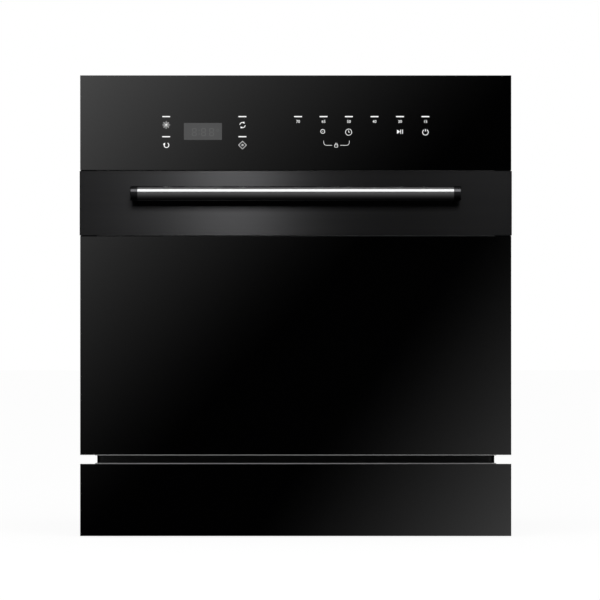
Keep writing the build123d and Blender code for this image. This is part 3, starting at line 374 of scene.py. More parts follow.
palePlastic = makeMoulded("palePlastic", (0.6, 0.61, 0.6), (0.68, 0.69, 0.68), (0.32, 0.42))
blackPlastic = makeMoulded("blackPlastic", (0.014, 0.014, 0.015), (0.022, 0.022, 0.023), (0.45, 0.58))
sealRubber = makeMoulded("sealRubber", (0.02, 0.02, 0.021), (0.03, 0.03, 0.031), (0.62, 0.76),
                         pebble=900.0, depth=0.00008)
wireCoat = makeMoulded("wireCoat", (0.44, 0.45, 0.47), (0.5, 0.51, 0.53), (0.28, 0.36),
                       pebble=500.0, depth=0.00008, bump=0.15)
boardLacquer = makeBoard()
displayFilm = makeMoulded("displayFilm", (0.138, 0.139, 0.14), (0.146, 0.147, 0.148), (0.08, 0.12),
                          pebble=300.0, depth=0.00001, bump=0.05)
segmentFilm = makeMoulded("segmentFilm", (0.19, 0.191, 0.192), (0.2, 0.201, 0.202), (0.08, 0.12),
                          pebble=300.0, depth=0.00001, bump=0.05)
# the printed white marks glow by emission, a painted glow
whiteInk = makeMoulded("whiteInk", (0.84, 0.84, 0.84), (0.9, 0.9, 0.9), (0.35, 0.45),
                       pebble=2500.0, depth=0.00001, bump=0.1, paintedGlow=0.52)

nodeFinish = {
    "control_glass": controlGlass, "door_glass": doorGlass, "kick_panel": kickGlass,
    "handle_band": brushedBlack, "handle_bar": brightBar, "handle_posts": blackChrome,
    "tub_wrap": tubSteel, "tub_rear": tubSteel, "tub_floor": tubSteel, "door_liner": tubSteel,
    "filter_plate": tubSteel, "latch_strike": railSteel, "fixed_rails": railSteel, "slide_rails": railSteel,
    "rack_rails": railSteel, "top_cover": zincSheet, "rear_panel": zincSheet, "hinge_brackets": zincSheet,
    "hinge_arms": zincSheet, "side_panel_left": blackPaint, "side_panel_right": blackPaint,
    "kick_carrier": greyPaint, "door_shell": greyPaint, "base_tray": blackPlastic, "wash_pump": blackPlastic,
    "terminal_box": blackPlastic, "control_housing": blackPlastic, "drain_pump": palePlastic,
    "water_softener": palePlastic, "salt_cap": palePlastic, "overfill_float": palePlastic,
    "inlet_valve": palePlastic, "door_latch": palePlastic, "door_seal": sealRubber,
    "control_board": boardLacquer, "display_module": displayFilm,
}
for name, shown in nodes.items():
    finish = nodeFinish.get(name, greyPlastic)
    if name.startswith("foot_"):
        finish = blackPlastic
    for materialSlot in shown.material_slots:
        materialSlot.material = finish
print("finishes on", len(nodes), "nodes")


def placePiece(name, mesh, finish, body, smooth=True):
    mesh.materials.append(finish)
    if smooth:
        mesh.shade_smooth()
    piece = bpy.data.objects.new(name, mesh)
    bpy.context.scene.collection.objects.link(piece)
    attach(piece, body)
    return piece


# Printing on the control glass. Points are (x, z) in millimetres
def roundedBox(x, z, width, height, radius, steps=4):
    points = []
    for turn, (sideX, sideZ) in enumerate(((1, 1), (-1, 1), (-1, -1), (1, -1))):
        for i in range(steps + 1):
            angle = math.pi / 2 * (turn + i / steps)
            points.append((x + sideX * (width / 2 - radius) + radius * math.cos(angle),
                           z + sideZ * (height / 2 - radius) + radius * math.sin(angle)))
    return points


def onCircle(x, z, radius, degrees):
    angle = math.radians(degrees)
    return (x + radius * math.cos(angle), z + radius * math.sin(angle))


def disc(x, z, radius, steps=20):
    return [onCircle(x, z, radius, 360 * i / steps) for i in range(steps)]


def arcPoints(x, z, radius, start, end, steps=20):
    return [onCircle(x, z, radius, start + (end - start) * i / steps) for i in range(steps + 1)]


def stroke(points, width, closed=False):
    # One quad for each stretch, met on the mitre at the corners
    sharpest = 0.4
    spots = [Vector(p) for p in points]
    count = len(spots)
    left, right = [], []
    for i, spot in enumerate(spots):
        before = spots[(i - 1) % count] if closed or i > 0 else None
        after = spots[(i + 1) % count] if closed or i < count - 1 else None
        runs = [run.normalized() for run in (before and spot - before, after and after - spot) if run]
        middle = sum(runs, Vector((0, 0))).normalized()
        across = Vector((-middle.y, middle.x))
        reach = width / 2 / max(sharpest, across.dot(Vector((-runs[0].y, runs[0].x))))
        left.append(spot + across * reach)
        right.append(spot - across * reach)
    last = count if closed else count - 1
    return [[right[i], right[(i + 1) % count], left[(i + 1) % count], left[i]] for i in range(last)]


def arrowHead(spot, angle, size):
    nose, flank = 0.6, 0.55
    ahead = Vector(onCircle(0, 0, 1, angle))
    aside = Vector((-ahead.y, ahead.x)) * size * flank
    tip = Vector(spot) + ahead * size * nose
    return [tip, tip - ahead * size + aside, tip - ahead * size - aside]


def printPiece(name, shapes, face, thickness, finish):
    sheet = bmesh.new()
    for shape in shapes:
        corners = [Vector((p[0] * mm, face * mm, p[1] * mm)) for p in shape]
        turn = sum((a.x * b.z - b.x * a.z) for a, b in zip(corners, corners[1:] + corners[:1]))
        if turn < 0:
            corners.reverse()
        top = [sheet.verts.new(c - Vector((0, thickness * mm, 0))) for c in corners]
        base = [sheet.verts.new(c) for c in corners]
        sheet.faces.new(top)
        for i in range(len(top)):
            j = (i + 1) % len(top)
            sheet.faces.new((top[j], top[i], base[i], base[j]))
    bmesh.ops.recalc_face_normals(sheet, faces=sheet.faces)
    mesh = bpy.data.meshes.new(name)
    sheet.to_mesh(mesh)
    sheet.free()
    placePiece(name, mesh, finish, "door", smooth=False)


panelSet = {"face": -229.0, "ink": 0.06}
barSet = {
    "size": (11.1, 1.55), "corner": 0.7, "keyX": [3.2, 38.4, 73.4, 108.7, 143.9, 179.0], "keyZ": 580.35,
    "left": [(-178.8, 580.35), (-178.8, 552.65), (-73.6, 580.35), (-73.6, 552.65)],
}


def makeBars():
    spots = barSet["left"] + [(x, barSet["keyZ"]) for x in barSet["keyX"]]
    return [roundedBox(x, z, *barSet["size"], barSet["corner"]) for x, z in spots]


flakeSet = {"spot": (-178.8, 568.8), "reach": 5.3, "line": 0.48, "rays": 8}


def makeFlake():
    # One outline with a notch between each two rays
    centre = Vector(flakeSet["spot"])
    step = 360 / flakeSet["rays"]
    notch = flakeSet["line"] / 2 / math.sin(math.radians(step / 2))
    outline = []
    for i in range(flakeSet["rays"]):
        ahead = Vector(onCircle(0, 0, 1, step * i))
        aside = Vector((-ahead.y, ahead.x)) * flakeSet["line"] / 2
        tip = centre + ahead * flakeSet["reach"]
        outline += [tip - aside, tip + aside, Vector(onCircle(*centre, notch, step * (i + 0.5)))]
    return [outline]


swirlSet = {"spot": (-178.4, 541.0), "radius": 3.3, "line": 1.1, "arc": (60, -200),
            "head": 3.1, "headAt": -212, "headTurn": 58}


def makeSwirl():
    radius = swirlSet["radius"]
    shapes = stroke(arcPoints(*swirlSet["spot"], radius, *swirlSet["arc"]), swirlSet["line"])
    head = onCircle(*swirlSet["spot"], radius, swirlSet["headAt"])
    return shapes + [arrowHead(head, swirlSet["headTurn"], swirlSet["head"])]


arrowsSet = {"spot": (-73.4, 568.7), "radius": 3.7, "line": 0.95, "starts": (175, -5), "sweep": 105,
             "head": 2.7, "headAt": 118}


def makeTwoArrows():
    shapes = []
    for start in arrowsSet["starts"]:
        arc = arcPoints(*arrowsSet["spot"], arrowsSet["radius"], start, start - arrowsSet["sweep"])
        shapes += stroke(arc, arrowsSet["line"])
        turned = start - arrowsSet["headAt"]
        head = onCircle(*arrowsSet["spot"], arrowsSet["radius"], turned)
        shapes.append(arrowHead(head, turned - 90, arrowsSet["head"]))
    return shapes


diamondSet = {"spot": (-73.4, 541.1), "reach": 5.4, "ring": 1.1, "line": 0.5}


def makeRingDiamond():
    x, z = diamondSet["spot"]
    reach = diamondSet["reach"]
    corners = [(x + reach, z), (x, z + reach), (x - reach, z), (x, z - reach)]
    ring = disc(x, z, diamondSet["ring"])
    return stroke(corners, diamondSet["line"], closed=True) + stroke(ring, diamondSet["line"], closed=True)


ringSet = {"spot": (37.3, 559.9), "radius": 2.8, "line": 0.75, "dot": 0.5}


def makeRingDot():
    ring = disc(*ringSet["spot"], ringSet["radius"], 28)
    return stroke(ring, ringSet["line"], closed=True) + [disc(*ringSet["spot"], ringSet["dot"])]


clockSet = {"spot": (73.0, 558.9), "radius": 4.3, "line": 0.65, "longHand": 0.62, "shortHand": 0.4}


def makeClock():
    x, z = clockSet["spot"]
    radius = clockSet["radius"]
    hands = [(x, z + radius * clockSet["longHand"]), (x, z), (x + radius * clockSet["shortHand"], z)]
    return stroke(disc(x, z, radius, 28), clockSet["line"], closed=True) + stroke(hands, clockSet["line"])


playSet = {"left": 139.8, "z": 559.5, "tip": 4.2, "tall": 5.7,
           "bars": (5.0, 7.6), "bar": (0.85, 6.1), "corner": 0.2}


def makePlayPause():
    left, z, half = playSet["left"], playSet["z"], playSet["tall"] / 2
    shapes = [[(left, z - half), (left + playSet["tip"], z), (left, z + half)]]
    for shift in playSet["bars"]:
        shapes.append(roundedBox(left + shift, z, *playSet["bar"], playSet["corner"]))
    return shapes


powerSet = {"x": 179.0, "z": 558.8, "radius": 3.9, "arc": (120, 420), "line": 0.85, "stem": (559.8, 563.3)}


def makePower():
    x, line = powerSet["x"], powerSet["line"]
    ring = arcPoints(x, powerSet["z"], powerSet["radius"], *powerSet["arc"], 26)
    return stroke(ring, line) + stroke([(x, z) for z in powerSet["stem"]], line)


lockSet = {
    "low": 540.7, "high": 547.2, "left": 38.6, "right": 74.0, "middle": 55.8, "free": 5.5, "bend": 4.0,
    "line": 0.5, "body": (4.4, 3.2), "bodyZ": 539.8, "bodyCorner": 0.5, "bodyLine": 0.55,
    "arch": 1.4, "archFoot": 541.6, "archZ": 542.3,
}


def makeLock():
    # A bracket that joins two keys, broken in the middle for a padlock
    low, high, bend, middle, arch = (lockSet[k] for k in ("low", "high", "bend", "middle", "arch"))
    shapes = []
    for end, side in ((lockSet["left"], -1), (lockSet["right"], 1)):
        corner = arcPoints(end - side * bend, low + bend, bend, 270 + side * 90, 270, 8)
        shapes += stroke([(end, high)] + corner + [(middle + side * lockSet["free"], low)], lockSet["line"])
    body = roundedBox(middle, lockSet["bodyZ"], *lockSet["body"], lockSet["bodyCorner"])
    shapes += stroke(body, lockSet["bodyLine"], closed=True)
    hoop = arcPoints(middle, lockSet["archZ"], arch, 180, 0, 10)
    hoop = [(middle - arch, lockSet["archFoot"])] + hoop + [(middle + arch, lockSet["archFoot"])]
    return shapes + stroke(hoop, lockSet["line"])


printPiece("indicatorBars", makeBars(), panelSet["face"], panelSet["ink"], whiteInk)
printPiece("programIcons", makeFlake() + makeSwirl() + makeTwoArrows() + makeRingDiamond(),
           panelSet["face"], panelSet["ink"], whiteInk)
printPiece("keyIcons", makeRingDot() + makeClock() + makePlayPause() + makePower(),
           panelSet["face"], panelSet["ink"], whiteInk)
printPiece("keyLock", makeLock(), panelSet["face"], panelSet["ink"], whiteInk)

numberSet = {"z": 573.4, "size": 5.6, "values": [70, 65, 50, 40, 30, 15]}


def printNumber(name, value, x):
    words = bpy.data.curves.new("keyNumberText", "FONT")
    words.body = str(value)
    words.size = numberSet["size"] * mm
    words.align_x = "CENTER"
    words.align_y = "CENTER"
    words.extrude = panelSet["ink"] * mm / 2
    words.resolution_u = 3
    sample = bpy.data.objects.new("keyNumberText", words)
    bpy.context.scene.collection.objects.link(sample)
    bpy.context.view_layer.update()
    mesh = bpy.data.meshes.new_from_object(sample.evaluated_get(bpy.context.evaluated_depsgraph_get()))
    bpy.data.objects.remove(sample)
    mesh.materials.clear()
    spot = Vector((x, panelSet["face"] - panelSet["ink"] / 2, numberSet["z"])) * mm
    mesh.transform(Matrix.Translation(spot) @ Matrix.Rotation(math.pi / 2, 4, "X"))
    placePiece(name, mesh, whiteInk, "door", smooth=False)


for count, (value, column) in enumerate(zip(numberSet["values"], barSet["keyX"]), 1):
    printNumber(f"keyNumber{count}", value, column)

displaySet = {
    "spot": (-128.1, 559.9), "size": (52.5, 23.4), "corner": 0.8, "film": 0.04, "segment": 0.03,
    "digitZ": 558.9, "digits": (-140.0, -127.2, -116.1), "height": 11.2, "width": 6.4, "line": 1.3, "free": 0.7,
    "colon": -133.3, "colonRise": 2.6, "point": 1.3, "pointCorner": 0.3,
    "ring": (-107.6, 561.5, 1.5), "ringLine": 0.6,
}


def barOfFigure(x, z, length, upright):
    # Pointed at both ends
    reach, half = length / 2, displaySet["line"] / 2
    points = [(-reach, 0), (half - reach, -half), (reach - half, -half),
              (reach, 0), (reach - half, half), (half - reach, half)]
    return [(x + b, z + a) if upright else (x + a, z + b) for a, b in points]


def sevenBars(x, z):
    half, tall, line = displaySet["width"] / 2, displaySet["height"] / 2, displaySet["line"]
    free = line * displaySet["free"]
    levels = (line / 2 - tall, 0, tall - line / 2)
    shapes = [barOfFigure(x, z + level, 2 * (half - free), False) for level in levels]
    for side in (-1, 1):
        for level in (-1, 1):
            shapes.append(barOfFigure(x + side * (half - line / 2), z + level * tall / 2, tall - free, True))
    return shapes


def makeDisplay():
    face, film = panelSet["face"], displaySet["film"]
    screen = roundedBox(*displaySet["spot"], *displaySet["size"], displaySet["corner"])
    printPiece("displayFace", [screen], face, film, displayFilm)
    shapes = []
    for digit in displaySet["digits"]:
        shapes += sevenBars(digit, displaySet["digitZ"])
    point = displaySet["point"]
    for rise in (-displaySet["colonRise"], displaySet["colonRise"]):
        shapes.append(roundedBox(displaySet["colon"], displaySet["digitZ"] + rise, point, point,
                                 displaySet["pointCorner"]))
    shapes += stroke(disc(*displaySet["ring"], 14), displaySet["ringLine"], closed=True)
    printPiece("displaySegments", shapes, face - film, displaySet["segment"], segmentFilm)


makeDisplay()
print("control panel printed")


# Wires and springs are swept round along their own lines, in metres
def roundedLine(corners, radius, steps=5, closed=False):
    spots = [Vector(c) for c in corners]
    count = len(spots)
    line = []
    for i, spot in enumerate(spots):
        if not closed and i in (0, count - 1):
            line.append(spot)
            continue
        back = (spots[(i - 1) % count] - spot).normalized()
        ahead = (spots[(i + 1) % count] - spot).normalized()
        half = back.angle(ahead) / 2
        hub = spot + (back + ahead).normalized() * (radius / math.sin(half))
        first = (spot + back * (radius / math.tan(half)) - hub).normalized()
        last = (spot + ahead * (radius / math.tan(half)) - hub).normalized()
        line += [hub + first.slerp(last, k / steps) * radius for k in range(steps + 1)]
    return line


def sweep(line, radius, verts, faces, sides=10, closed=False):
    # Carries one ring along the line without twisting it, and domes the open ends
    dome = ((0.45, 0.89), (0.85, 0.52))  # how far past the end, and how wide
    count = len(line)
    runs = [(line[(i + 1) % count] - line[i - 1 if closed or i else 0]).normalized() for i in range(count)]
    if not closed:
        runs[-1] = (line[-1] - line[-2]).normalized()
    side = runs[0].orthogonal().normalized()
    rings = []
    for i in range(count):
        side = (side - runs[i] * side.dot(runs[i])).normalized()
        rings.append((line[i], side.copy(), runs[i].cross(side), radius))
    if not closed:
        lead, tail = rings[0], rings[-1]
        for depth, share in dome:
            rings.insert(0, (lead[0] - runs[0] * radius * depth, lead[1], lead[2], radius * share))
            rings.append((tail[0] + runs[-1] * radius * depth, tail[1], tail[2], radius * share))
    base = len(verts)
    for spot, first, second, size in rings:
        for k in range(sides):
            angle = 2 * math.pi * k / sides
            verts.append(spot + (first * math.cos(angle) + second * math.sin(angle)) * size)
    total = len(rings)
    for i in range(total if closed else total - 1):
        for k in range(sides):
            here, there, n = base + i * sides, base + (i + 1) % total * sides, (k + 1) % sides
            faces.append((here + k, here + n, there + n, there + k))
    if not closed:
        faces.append(tuple(base + k for k in reversed(range(sides))))
        faces.append(tuple(base + (total - 1) * sides + k for k in range(sides)))


rackSet = {
    "wire": 4.0, "rim": 5.0, "tine": 3.0, "tineTip": 1.4, "bend": 9.0, "crossWires": 6, "longWires": 9,
    "longPitch": 50.75, "tines": 13, "tinePitch": 30.5, "rimCorner": 11.5, "hoopCorner": 8.0, "inside": 0.5,
}


def makeRack(name, node, rows, hoop, tineHeight, body):
    # Cross wires lie lowest, then the long wires, then the rows of tines. A rim and a hoop go round them all
    low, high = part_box(node)
    wire, rim, inside = (rackSet[k] * mm for k in ("wire", "rim", "inside"))
    halfWide, front, rear = high.x - inside, low.y + inside, high.y - inside
    floor, top = low.z, high.z - rim
    pitch = (rear - front - wire) / (rackSet["crossWires"] + 1)
    verts, faces = [], []
    sideX, firstY, lastY = halfWide - wire / 2, front + wire / 2, rear - wire / 2
    crossZ, longZ, rowZ = (floor + wire * layer for layer in (0.5, 1.5, 2.5))
    for i in range(rackSet["crossWires"]):
        y = firstY + pitch * (i + 1)
        bent = [(-sideX, y, top), (-sideX, y, crossZ), (sideX, y, crossZ), (sideX, y, top)]
        sweep(roundedLine(bent, rackSet["bend"] * mm), wire / 2, verts, faces)
    for i in range(rackSet["longWires"]):
        x = rackSet["longPitch"] * mm * (i - (rackSet["longWires"] - 1) / 2)
        bent = [(x, firstY, top), (x, firstY, longZ), (x, lastY, longZ), (x, lastY, top)]
        sweep(roundedLine(bent, rackSet["bend"] * mm), wire / 2, verts, faces)
    for row in rows:
        y = firstY + pitch * row
        reach = halfWide - 2 * wire
        sweep([Vector((-reach, y, rowZ)), Vector((reach, y, rowZ))], wire / 2, verts, faces)
        foot, tip = rowZ + wire * 0.1, floor + wire * 3 + tineHeight * mm
        for i in range(rackSet["tines"]):
            x = rackSet["tinePitch"] * mm * (i - (rackSet["tines"] - 1) / 2)
            upright = [Vector((x, y, z)) for z in (foot, (foot + tip) / 2, tip - rackSet["tineTip"] * mm)]
            sweep(upright, rackSet["tine"] * mm / 2, verts, faces, sides=8)
    for inset, level, corner, thick in ((rim / 2 - inside, top + rim / 2, rackSet["rimCorner"], rim),
                                        (wire * 1.5, hoop * mm + wire / 2, rackSet["hoopCorner"], wire)):
        x, back, ahead = halfWide - inset, rear - inset, front + inset
        loop = roundedLine([(x, ahead, level), (x, back, level), (-x, back, level), (-x, ahead, level)],
                           corner * mm, 6, closed=True)
        sweep(loop, thick / 2, verts, faces, closed=True)
    mesh = bpy.data.meshes.new(name)
    mesh.from_pydata(verts, [], faces)
    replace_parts(placePiece(name, mesh, wireCoat, body), node)


makeRack("lowerRackWires", "lower_rack", (2.6, 4.4, 6.2), 232.0, 58.0, "lower_rack")
makeRack("upperRackWires", "upper_rack", (1.6, 3.6, 5.6), 512.3, 34.0, "upper_rack")
print("racks swept")

springSet = {"coils": 46, "steps": 10, "wire": 0.9, "across": 6.0, "hook": 12.0, "lead": 3.0, "end": 1.0,
             "inset": 7.0, "grow": 8}


def makeSprings():
    low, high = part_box("door_springs")
    verts, faces = [], []
    height = (low.z + high.z) / 2
    front, back = low.y, high.y
    across, hook, lead, end, inset = (springSet[k] * mm for k in ("across", "hook", "lead", "end", "inset"))
    first, last = front + hook, back - hook
    steps = springSet["coils"] * springSet["steps"]
    for side in (-1, 1):
        x = side * (high.x - inset)
        line = [Vector((x, front + end, height)), Vector((x, first - lead, height))]
        for i in range(steps + 1):
            angle = 2 * math.pi * i / springSet["steps"]
            radius = across * min(1.0, i / springSet["grow"], (steps - i) / springSet["grow"])
            line.append(Vector((x + radius * math.cos(angle), first + (last - first) * i / steps,
                                height + radius * math.sin(angle))))
        line += [Vector((x, last + lead, height)), Vector((x, back - end, height))]
        sweep(line, springSet["wire"] * mm, verts, faces, sides=6)
    mesh = bpy.data.meshes.new("doorSpringCoils")
    mesh.from_pydata(verts, [], faces)
    coils = placePiece("doorSpringCoils", mesh, railSteel, "cabinet")
    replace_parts(coils, "door_springs")


makeSprings()
print("springs wound")

seamSet = {"reach": (274.5, 296.9), "depth": (-225.15, -223.6), "heights": (505.9, 415.9), "half": 8.0}


def makeSeamStrips():
    # Black strips behind the ends of the two seams, so no light shows through them: painted shade, dark sheets
    # that keep the seam ends dark
    sheet = bmesh.new()
    near, far = seamSet["reach"]
    front, back = seamSet["depth"]
    for side in (-1, 1):
        for height in seamSet["heights"]:
            middle = Vector((side * (near + far) / 2, (front + back) / 2, height)) * mm
            size = Vector((far - near, back - front, 2 * seamSet["half"])) * mm
            placed = Matrix.Translation(middle) @ Matrix.Diagonal((*size, 1))
            bmesh.ops.create_cube(sheet, size=1.0, matrix=placed)
    mesh = bpy.data.meshes.new("seamShadeStrips")
    sheet.to_mesh(mesh)
    sheet.free()
    placePiece("seamShadeStrips", mesh, blackPlastic, "door", smooth=False)


makeSeamStrips()
print("seams backed")

screwSet = {
    "head": 4.2, "rise": 1.5, "recess": 1.7, "lobe": 0.13, "steps": 24, "linerFace": -204.2,
    "dome": [(1.0, 0.0), (1.0, 0.35), (0.86, 0.78), (0.6, 1.0)], "socket": [(1.0, 1.0), (0.92, 0.3)],
    "sides": [(-150.0, 132.0), (-150.0, 560.0), (190.0, 132.0), (190.0, 560.0)],
    "liner": [(266.0, 190.0), (266.0, 320.0), (266.0, 450.0), (266.0, 580.0)],
}


def addScrew(sheet, spot, outward):
    # A low domed head with a six-lobed recess
    seat = Matrix.Translation(spot) @ outward.to_track_quat("Z", "Y").to_matrix().to_4x4()
    rise, steps = screwSet["rise"] * mm, screwSet["steps"]
    rings = []
    for part, lobe in (("dome", 0.0), ("socket", screwSet["lobe"])):
        full = (screwSet["recess"] if lobe else screwSet["head"]) * mm
        rings += [(full * width, rise * level, lobe) for width, level in screwSet[part]]
    made = []
    for radius, level, lobe in rings:
        ring = []
        for k in range(steps):
            angle = 2 * math.pi * k / steps
            reach = radius * (1 + lobe * math.cos(6 * angle))
            spotOnRing = Vector((reach * math.cos(angle), reach * math.sin(angle), level))
            ring.append(sheet.verts.new(seat @ spotOnRing))
        made.append(ring)
    for lower, upper in zip(made, made[1:]):
        for k in range(steps):
            n = (k + 1) % steps
            sheet.faces.new((lower[k], lower[n], upper[n], upper[k]))
    sheet.faces.new(made[-1])


def makeScrews(name, spots, body):
    sheet = bmesh.new()
    for spot, outward in spots:
        addScrew(sheet, Vector(spot), Vector(outward))
    mesh = bpy.data.meshes.new(name)
    sheet.to_mesh(mesh)
    sheet.free()
    placePiece(name, mesh, zincSheet, body)


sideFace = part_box("side_panel_right")[1].x
makeScrews("sideScrews", [((side * sideFace, y * mm, z * mm), (side, 0, 0))
                          for side in (-1, 1) for y, z in screwSet["sides"]], "cabinet")
makeScrews("linerScrews", [((side * x * mm, screwSet["linerFace"] * mm, z * mm), (0, 1, 0))
                           for side in (-1, 1) for x, z in screwSet["liner"]], "door")
print("screws set")


# Studio: white all round for the camera, dark ahead for what mirrors it
def makeWorld():
    look = {"ambient": 0.42, "below": 0.006, "ahead": 0.09, "above": 0.13, "aboveFrom": 0.4, "behind": 0.9,
            "behindFrom": 0.3, "behindFull": 0.7, "camera": 1.0}
    world = bpy.data.worlds.new("studio")
    bpy.context.scene.world = world
    world.use_nodes = True
    tree = world.node_tree
    tree.nodes.clear()
    out = addNode(tree, "ShaderNodeOutputWorld")
    place = addNode(tree, "ShaderNodeTexCoord")
    way = addNode(tree, "ShaderNodeSeparateXYZ", {"Vector": place.outputs["Generated"]})
    rising = addNode(tree, "ShaderNodeMapRange", {
        "Value": way.outputs["Z"], "From Min": -1.0, "From Max": 0.0, "To Min": look["below"],
        "To Max": look["ahead"]})
    over = addNode(tree, "ShaderNodeMapRange", {
        "Value": way.outputs["Z"], "From Min": 0.0, "From Max": look["aboveFrom"],
        "To Max": look["above"] - look["ahead"]})
    frontTone = mathNode(tree, "ADD", rising.outputs["Result"], over.outputs["Result"])
    rear = addNode(tree, "ShaderNodeMapRange", {
        "Value": way.outputs["Y"], "From Min": look["behindFrom"], "From Max": look["behindFull"],
        "To Max": look["behind"]})
    mirrored = mathNode(tree, "MAXIMUM", frontTone, rear.outputs["Result"])
    rays = addNode(tree, "ShaderNodeLightPath")
    seen = mathNode(tree, "MAXIMUM", rays.outputs["Is Camera Ray"], rays.outputs["Is Transmission Ray"])
    glossed = addNode(tree, "ShaderNodeMix", data_type="FLOAT")
    tree.links.new(rays.outputs["Is Glossy Ray"], glossed.inputs[0])
    glossed.inputs[2].default_value = look["ambient"]
    tree.links.new(mirrored, glossed.inputs[3])
    level = addNode(tree, "ShaderNodeMix", data_type="FLOAT")
    tree.links.new(seen, level.inputs[0])
    tree.links.new(glossed.outputs[0], level.inputs[2])
    level.inputs[3].default_value = look["camera"]
    glow = addNode(tree, "ShaderNodeBackground", {"Color": (1, 1, 1, 1), "Strength": level.outputs[0]})
    tree.links.new(glow.outputs[0], out.inputs["Surface"])


def makePlane(name, corners, finish):
    mesh = bpy.data.meshes.new(name)
    mesh.from_pydata(corners, [], [(0, 1, 2, 3)])
    mesh.materials.append(finish)
    plane = bpy.data.objects.new(name, mesh)
    bpy.context.scene.collection.objects.link(plane)
    return plane


def startStageFinish(name):
    finish = bpy.data.materials.new(name)
    finish.use_nodes = True
    tree = finish.node_tree
    tree.nodes.clear()
    return finish, tree, addNode(tree, "ShaderNodeOutputMaterial")


def makeFloor():
    # Seen by the camera it is nearly all white, and keeps a share of its real shade for the shadow
    look = {"half": 14.0, "colour": 0.86, "keep": 0.2, "white": 1.135}
    finish, tree, out = startStageFinish("paleFloor")
    matte = addNode(tree, "ShaderNodeBsdfDiffuse", {"Color": (look["colour"],) * 3 + (1,)})
    white = addNode(tree, "ShaderNodeEmission", {"Color": (1, 1, 1, 1), "Strength": look["white"]})
    rays = addNode(tree, "ShaderNodeLightPath")
    share = mathNode(tree, "MULTIPLY", rays.outputs["Is Camera Ray"], 1 - look["keep"])
    mixed = addNode(tree, "ShaderNodeMixShader", {"Fac": share})
    tree.links.new(matte.outputs[0], mixed.inputs[1])
    tree.links.new(white.outputs[0], mixed.inputs[2])
    tree.links.new(mixed.outputs[0], out.inputs["Surface"])
    half = look["half"]
    corners = [(-half, -half, 0), (half, -half, 0), (half, half, 0), (-half, half, 0)]
    makePlane("paleFloor", corners, finish).visible_glossy = False


def linkTo(light, shown):
    # The light falls only on the pieces that it is given
    lit = bpy.data.collections.new(light.name + "Lights")
    for piece in shown:
        lit.objects.link(piece)
    light.light_linking.receiver_collection = lit


cardSet = {
    "y": -6.529, "wide": (-0.9, 0.9), "tall": (-0.6, 1.3), "across": (297.85, 353.1), "down": (415.7, -353.1),
    "topLeft": (94.134, -0.159, -0.151), "lowerRight": (-138.2, 0.21, 0.16), "mirror": 0.04, "black": 0.0008,
}


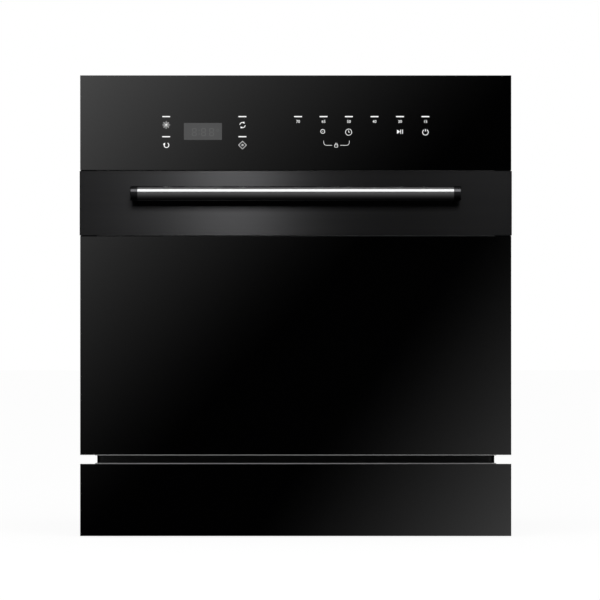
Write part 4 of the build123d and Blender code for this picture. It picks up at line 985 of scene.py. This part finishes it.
def makeFrontCard():
    # What the glass mirrors: a screen that is brightest at the top left, with a second glow at the lower right.
    # Both are planes over the picture's places, in its 255 steps of tone
    finish, tree, out = startStageFinish("frontCard")
    coords = addNode(tree, "ShaderNodeTexCoord")
    place = addNode(tree, "ShaderNodeSeparateXYZ", {"Vector": coords.outputs["Object"]})

    def scaled(value, factor):
        return mathNode(tree, "MULTIPLY", value, factor)

    def raised(value, step):
        return mathNode(tree, "ADD", value, step)

    across = raised(scaled(place.outputs["X"], cardSet["across"][1]), cardSet["across"][0])
    down = raised(scaled(place.outputs["Z"], cardSet["down"][1]), cardSet["down"][0])
    glows = []
    for level, rightward, downward in (cardSet["topLeft"], cardSet["lowerRight"]):
        tone = raised(mathNode(tree, "ADD", scaled(across, rightward), scaled(down, downward)), level)
        glows.append(mathNode(tree, "MAXIMUM", tone, 0.0))
    shade = raised(scaled(mathNode(tree, "ADD", *glows), 1 / 255 / 1.055), 0.055 / 1.055)
    linear = raised(mathNode(tree, "POWER", shade, 2.4), -cardSet["black"])
    glow = addNode(tree, "ShaderNodeEmission", {
        "Color": (1, 1, 1, 1), "Strength": scaled(linear, 1 / cardSet["mirror"])})
    tree.links.new(glow.outputs[0], out.inputs["Surface"])
    (left, right), (low, high), y = cardSet["wide"], cardSet["tall"], cardSet["y"]
    card = makePlane("frontCard", [(left, y, low), (right, y, low), (right, y, high), (left, y, high)], finish)
    card.visible_camera = False
    card.visible_diffuse = False
    card.visible_shadow = False
    card.visible_transmission = False
    handle = ("handle_bar", "handle_posts", "handle_band")
    linkTo(card, [shown for name, shown in nodes.items() if name not in handle])


def addLamp(name, place, target, size, watts, lights):
    lamp = bpy.data.lights.new(name, "AREA")
    lamp.shape = "RECTANGLE"
    lamp.size, lamp.size_y = size
    lamp.energy = watts
    held = bpy.data.objects.new(name, lamp)
    held.location = place
    held.rotation_euler = (Vector(target) - Vector(place)).to_track_quat("-Z", "Y").to_euler()
    bpy.context.scene.collection.objects.link(held)
    linkTo(held, lights)


lampSet = {
    "handle": (0.0, -0.26, 0.474),
    "softbox": {"place": (0.0, -1.738, 2.104), "size": (2.2, 1.6), "watts": 14.8},
    "fill": {"place": (0.0, -6.52, 0.38), "size": (1.8, 1.9), "watts": 1.05},
    "band": {"y": -1.1515, "z": 0.761, "faceY": -0.229, "faceZ": 0.461, "tall": 0.24,
             "lamps": [(-0.1, 0.12, 3.4), (-0.2, 0.16, 0.85), (-0.37, 0.2, 0.6), (0.34, 0.2, 0.65),
                       (0.0, 2.0, 2.85)]},
}


def hangLamps():
    # The softbox is kept off the mirrors around the bar, so that the bar's back stays dark.
    # Each of the band's own lamps is given as its place across, its width and its watts
    softbox, fill, band = (lampSet[k] for k in ("softbox", "fill", "band"))
    flatFronts = [nodes[name] for name in ("control_glass", "door_glass", "kick_panel", "handle_band")]
    others = [shown for shown in bpy.context.scene.objects if shown.type == "MESH" and shown not in flatFronts]
    addLamp("topSoftbox", softbox["place"], lampSet["handle"], softbox["size"], softbox["watts"], others)
    addLamp("barFill", fill["place"], lampSet["handle"], fill["size"], fill["watts"],
            [nodes["handle_bar"], nodes["handle_posts"]])
    for count, (x, wide, watts) in enumerate(band["lamps"]):
        addLamp(f"bandLamp{count}", (x, band["y"], band["z"]), (x, band["faceY"], band["faceZ"]),
                (wide, band["tall"]), watts, [nodes["handle_band"]])


makeWorld()
makeFloor()
makeFrontCard()
hangLamps()
print("studio lit")
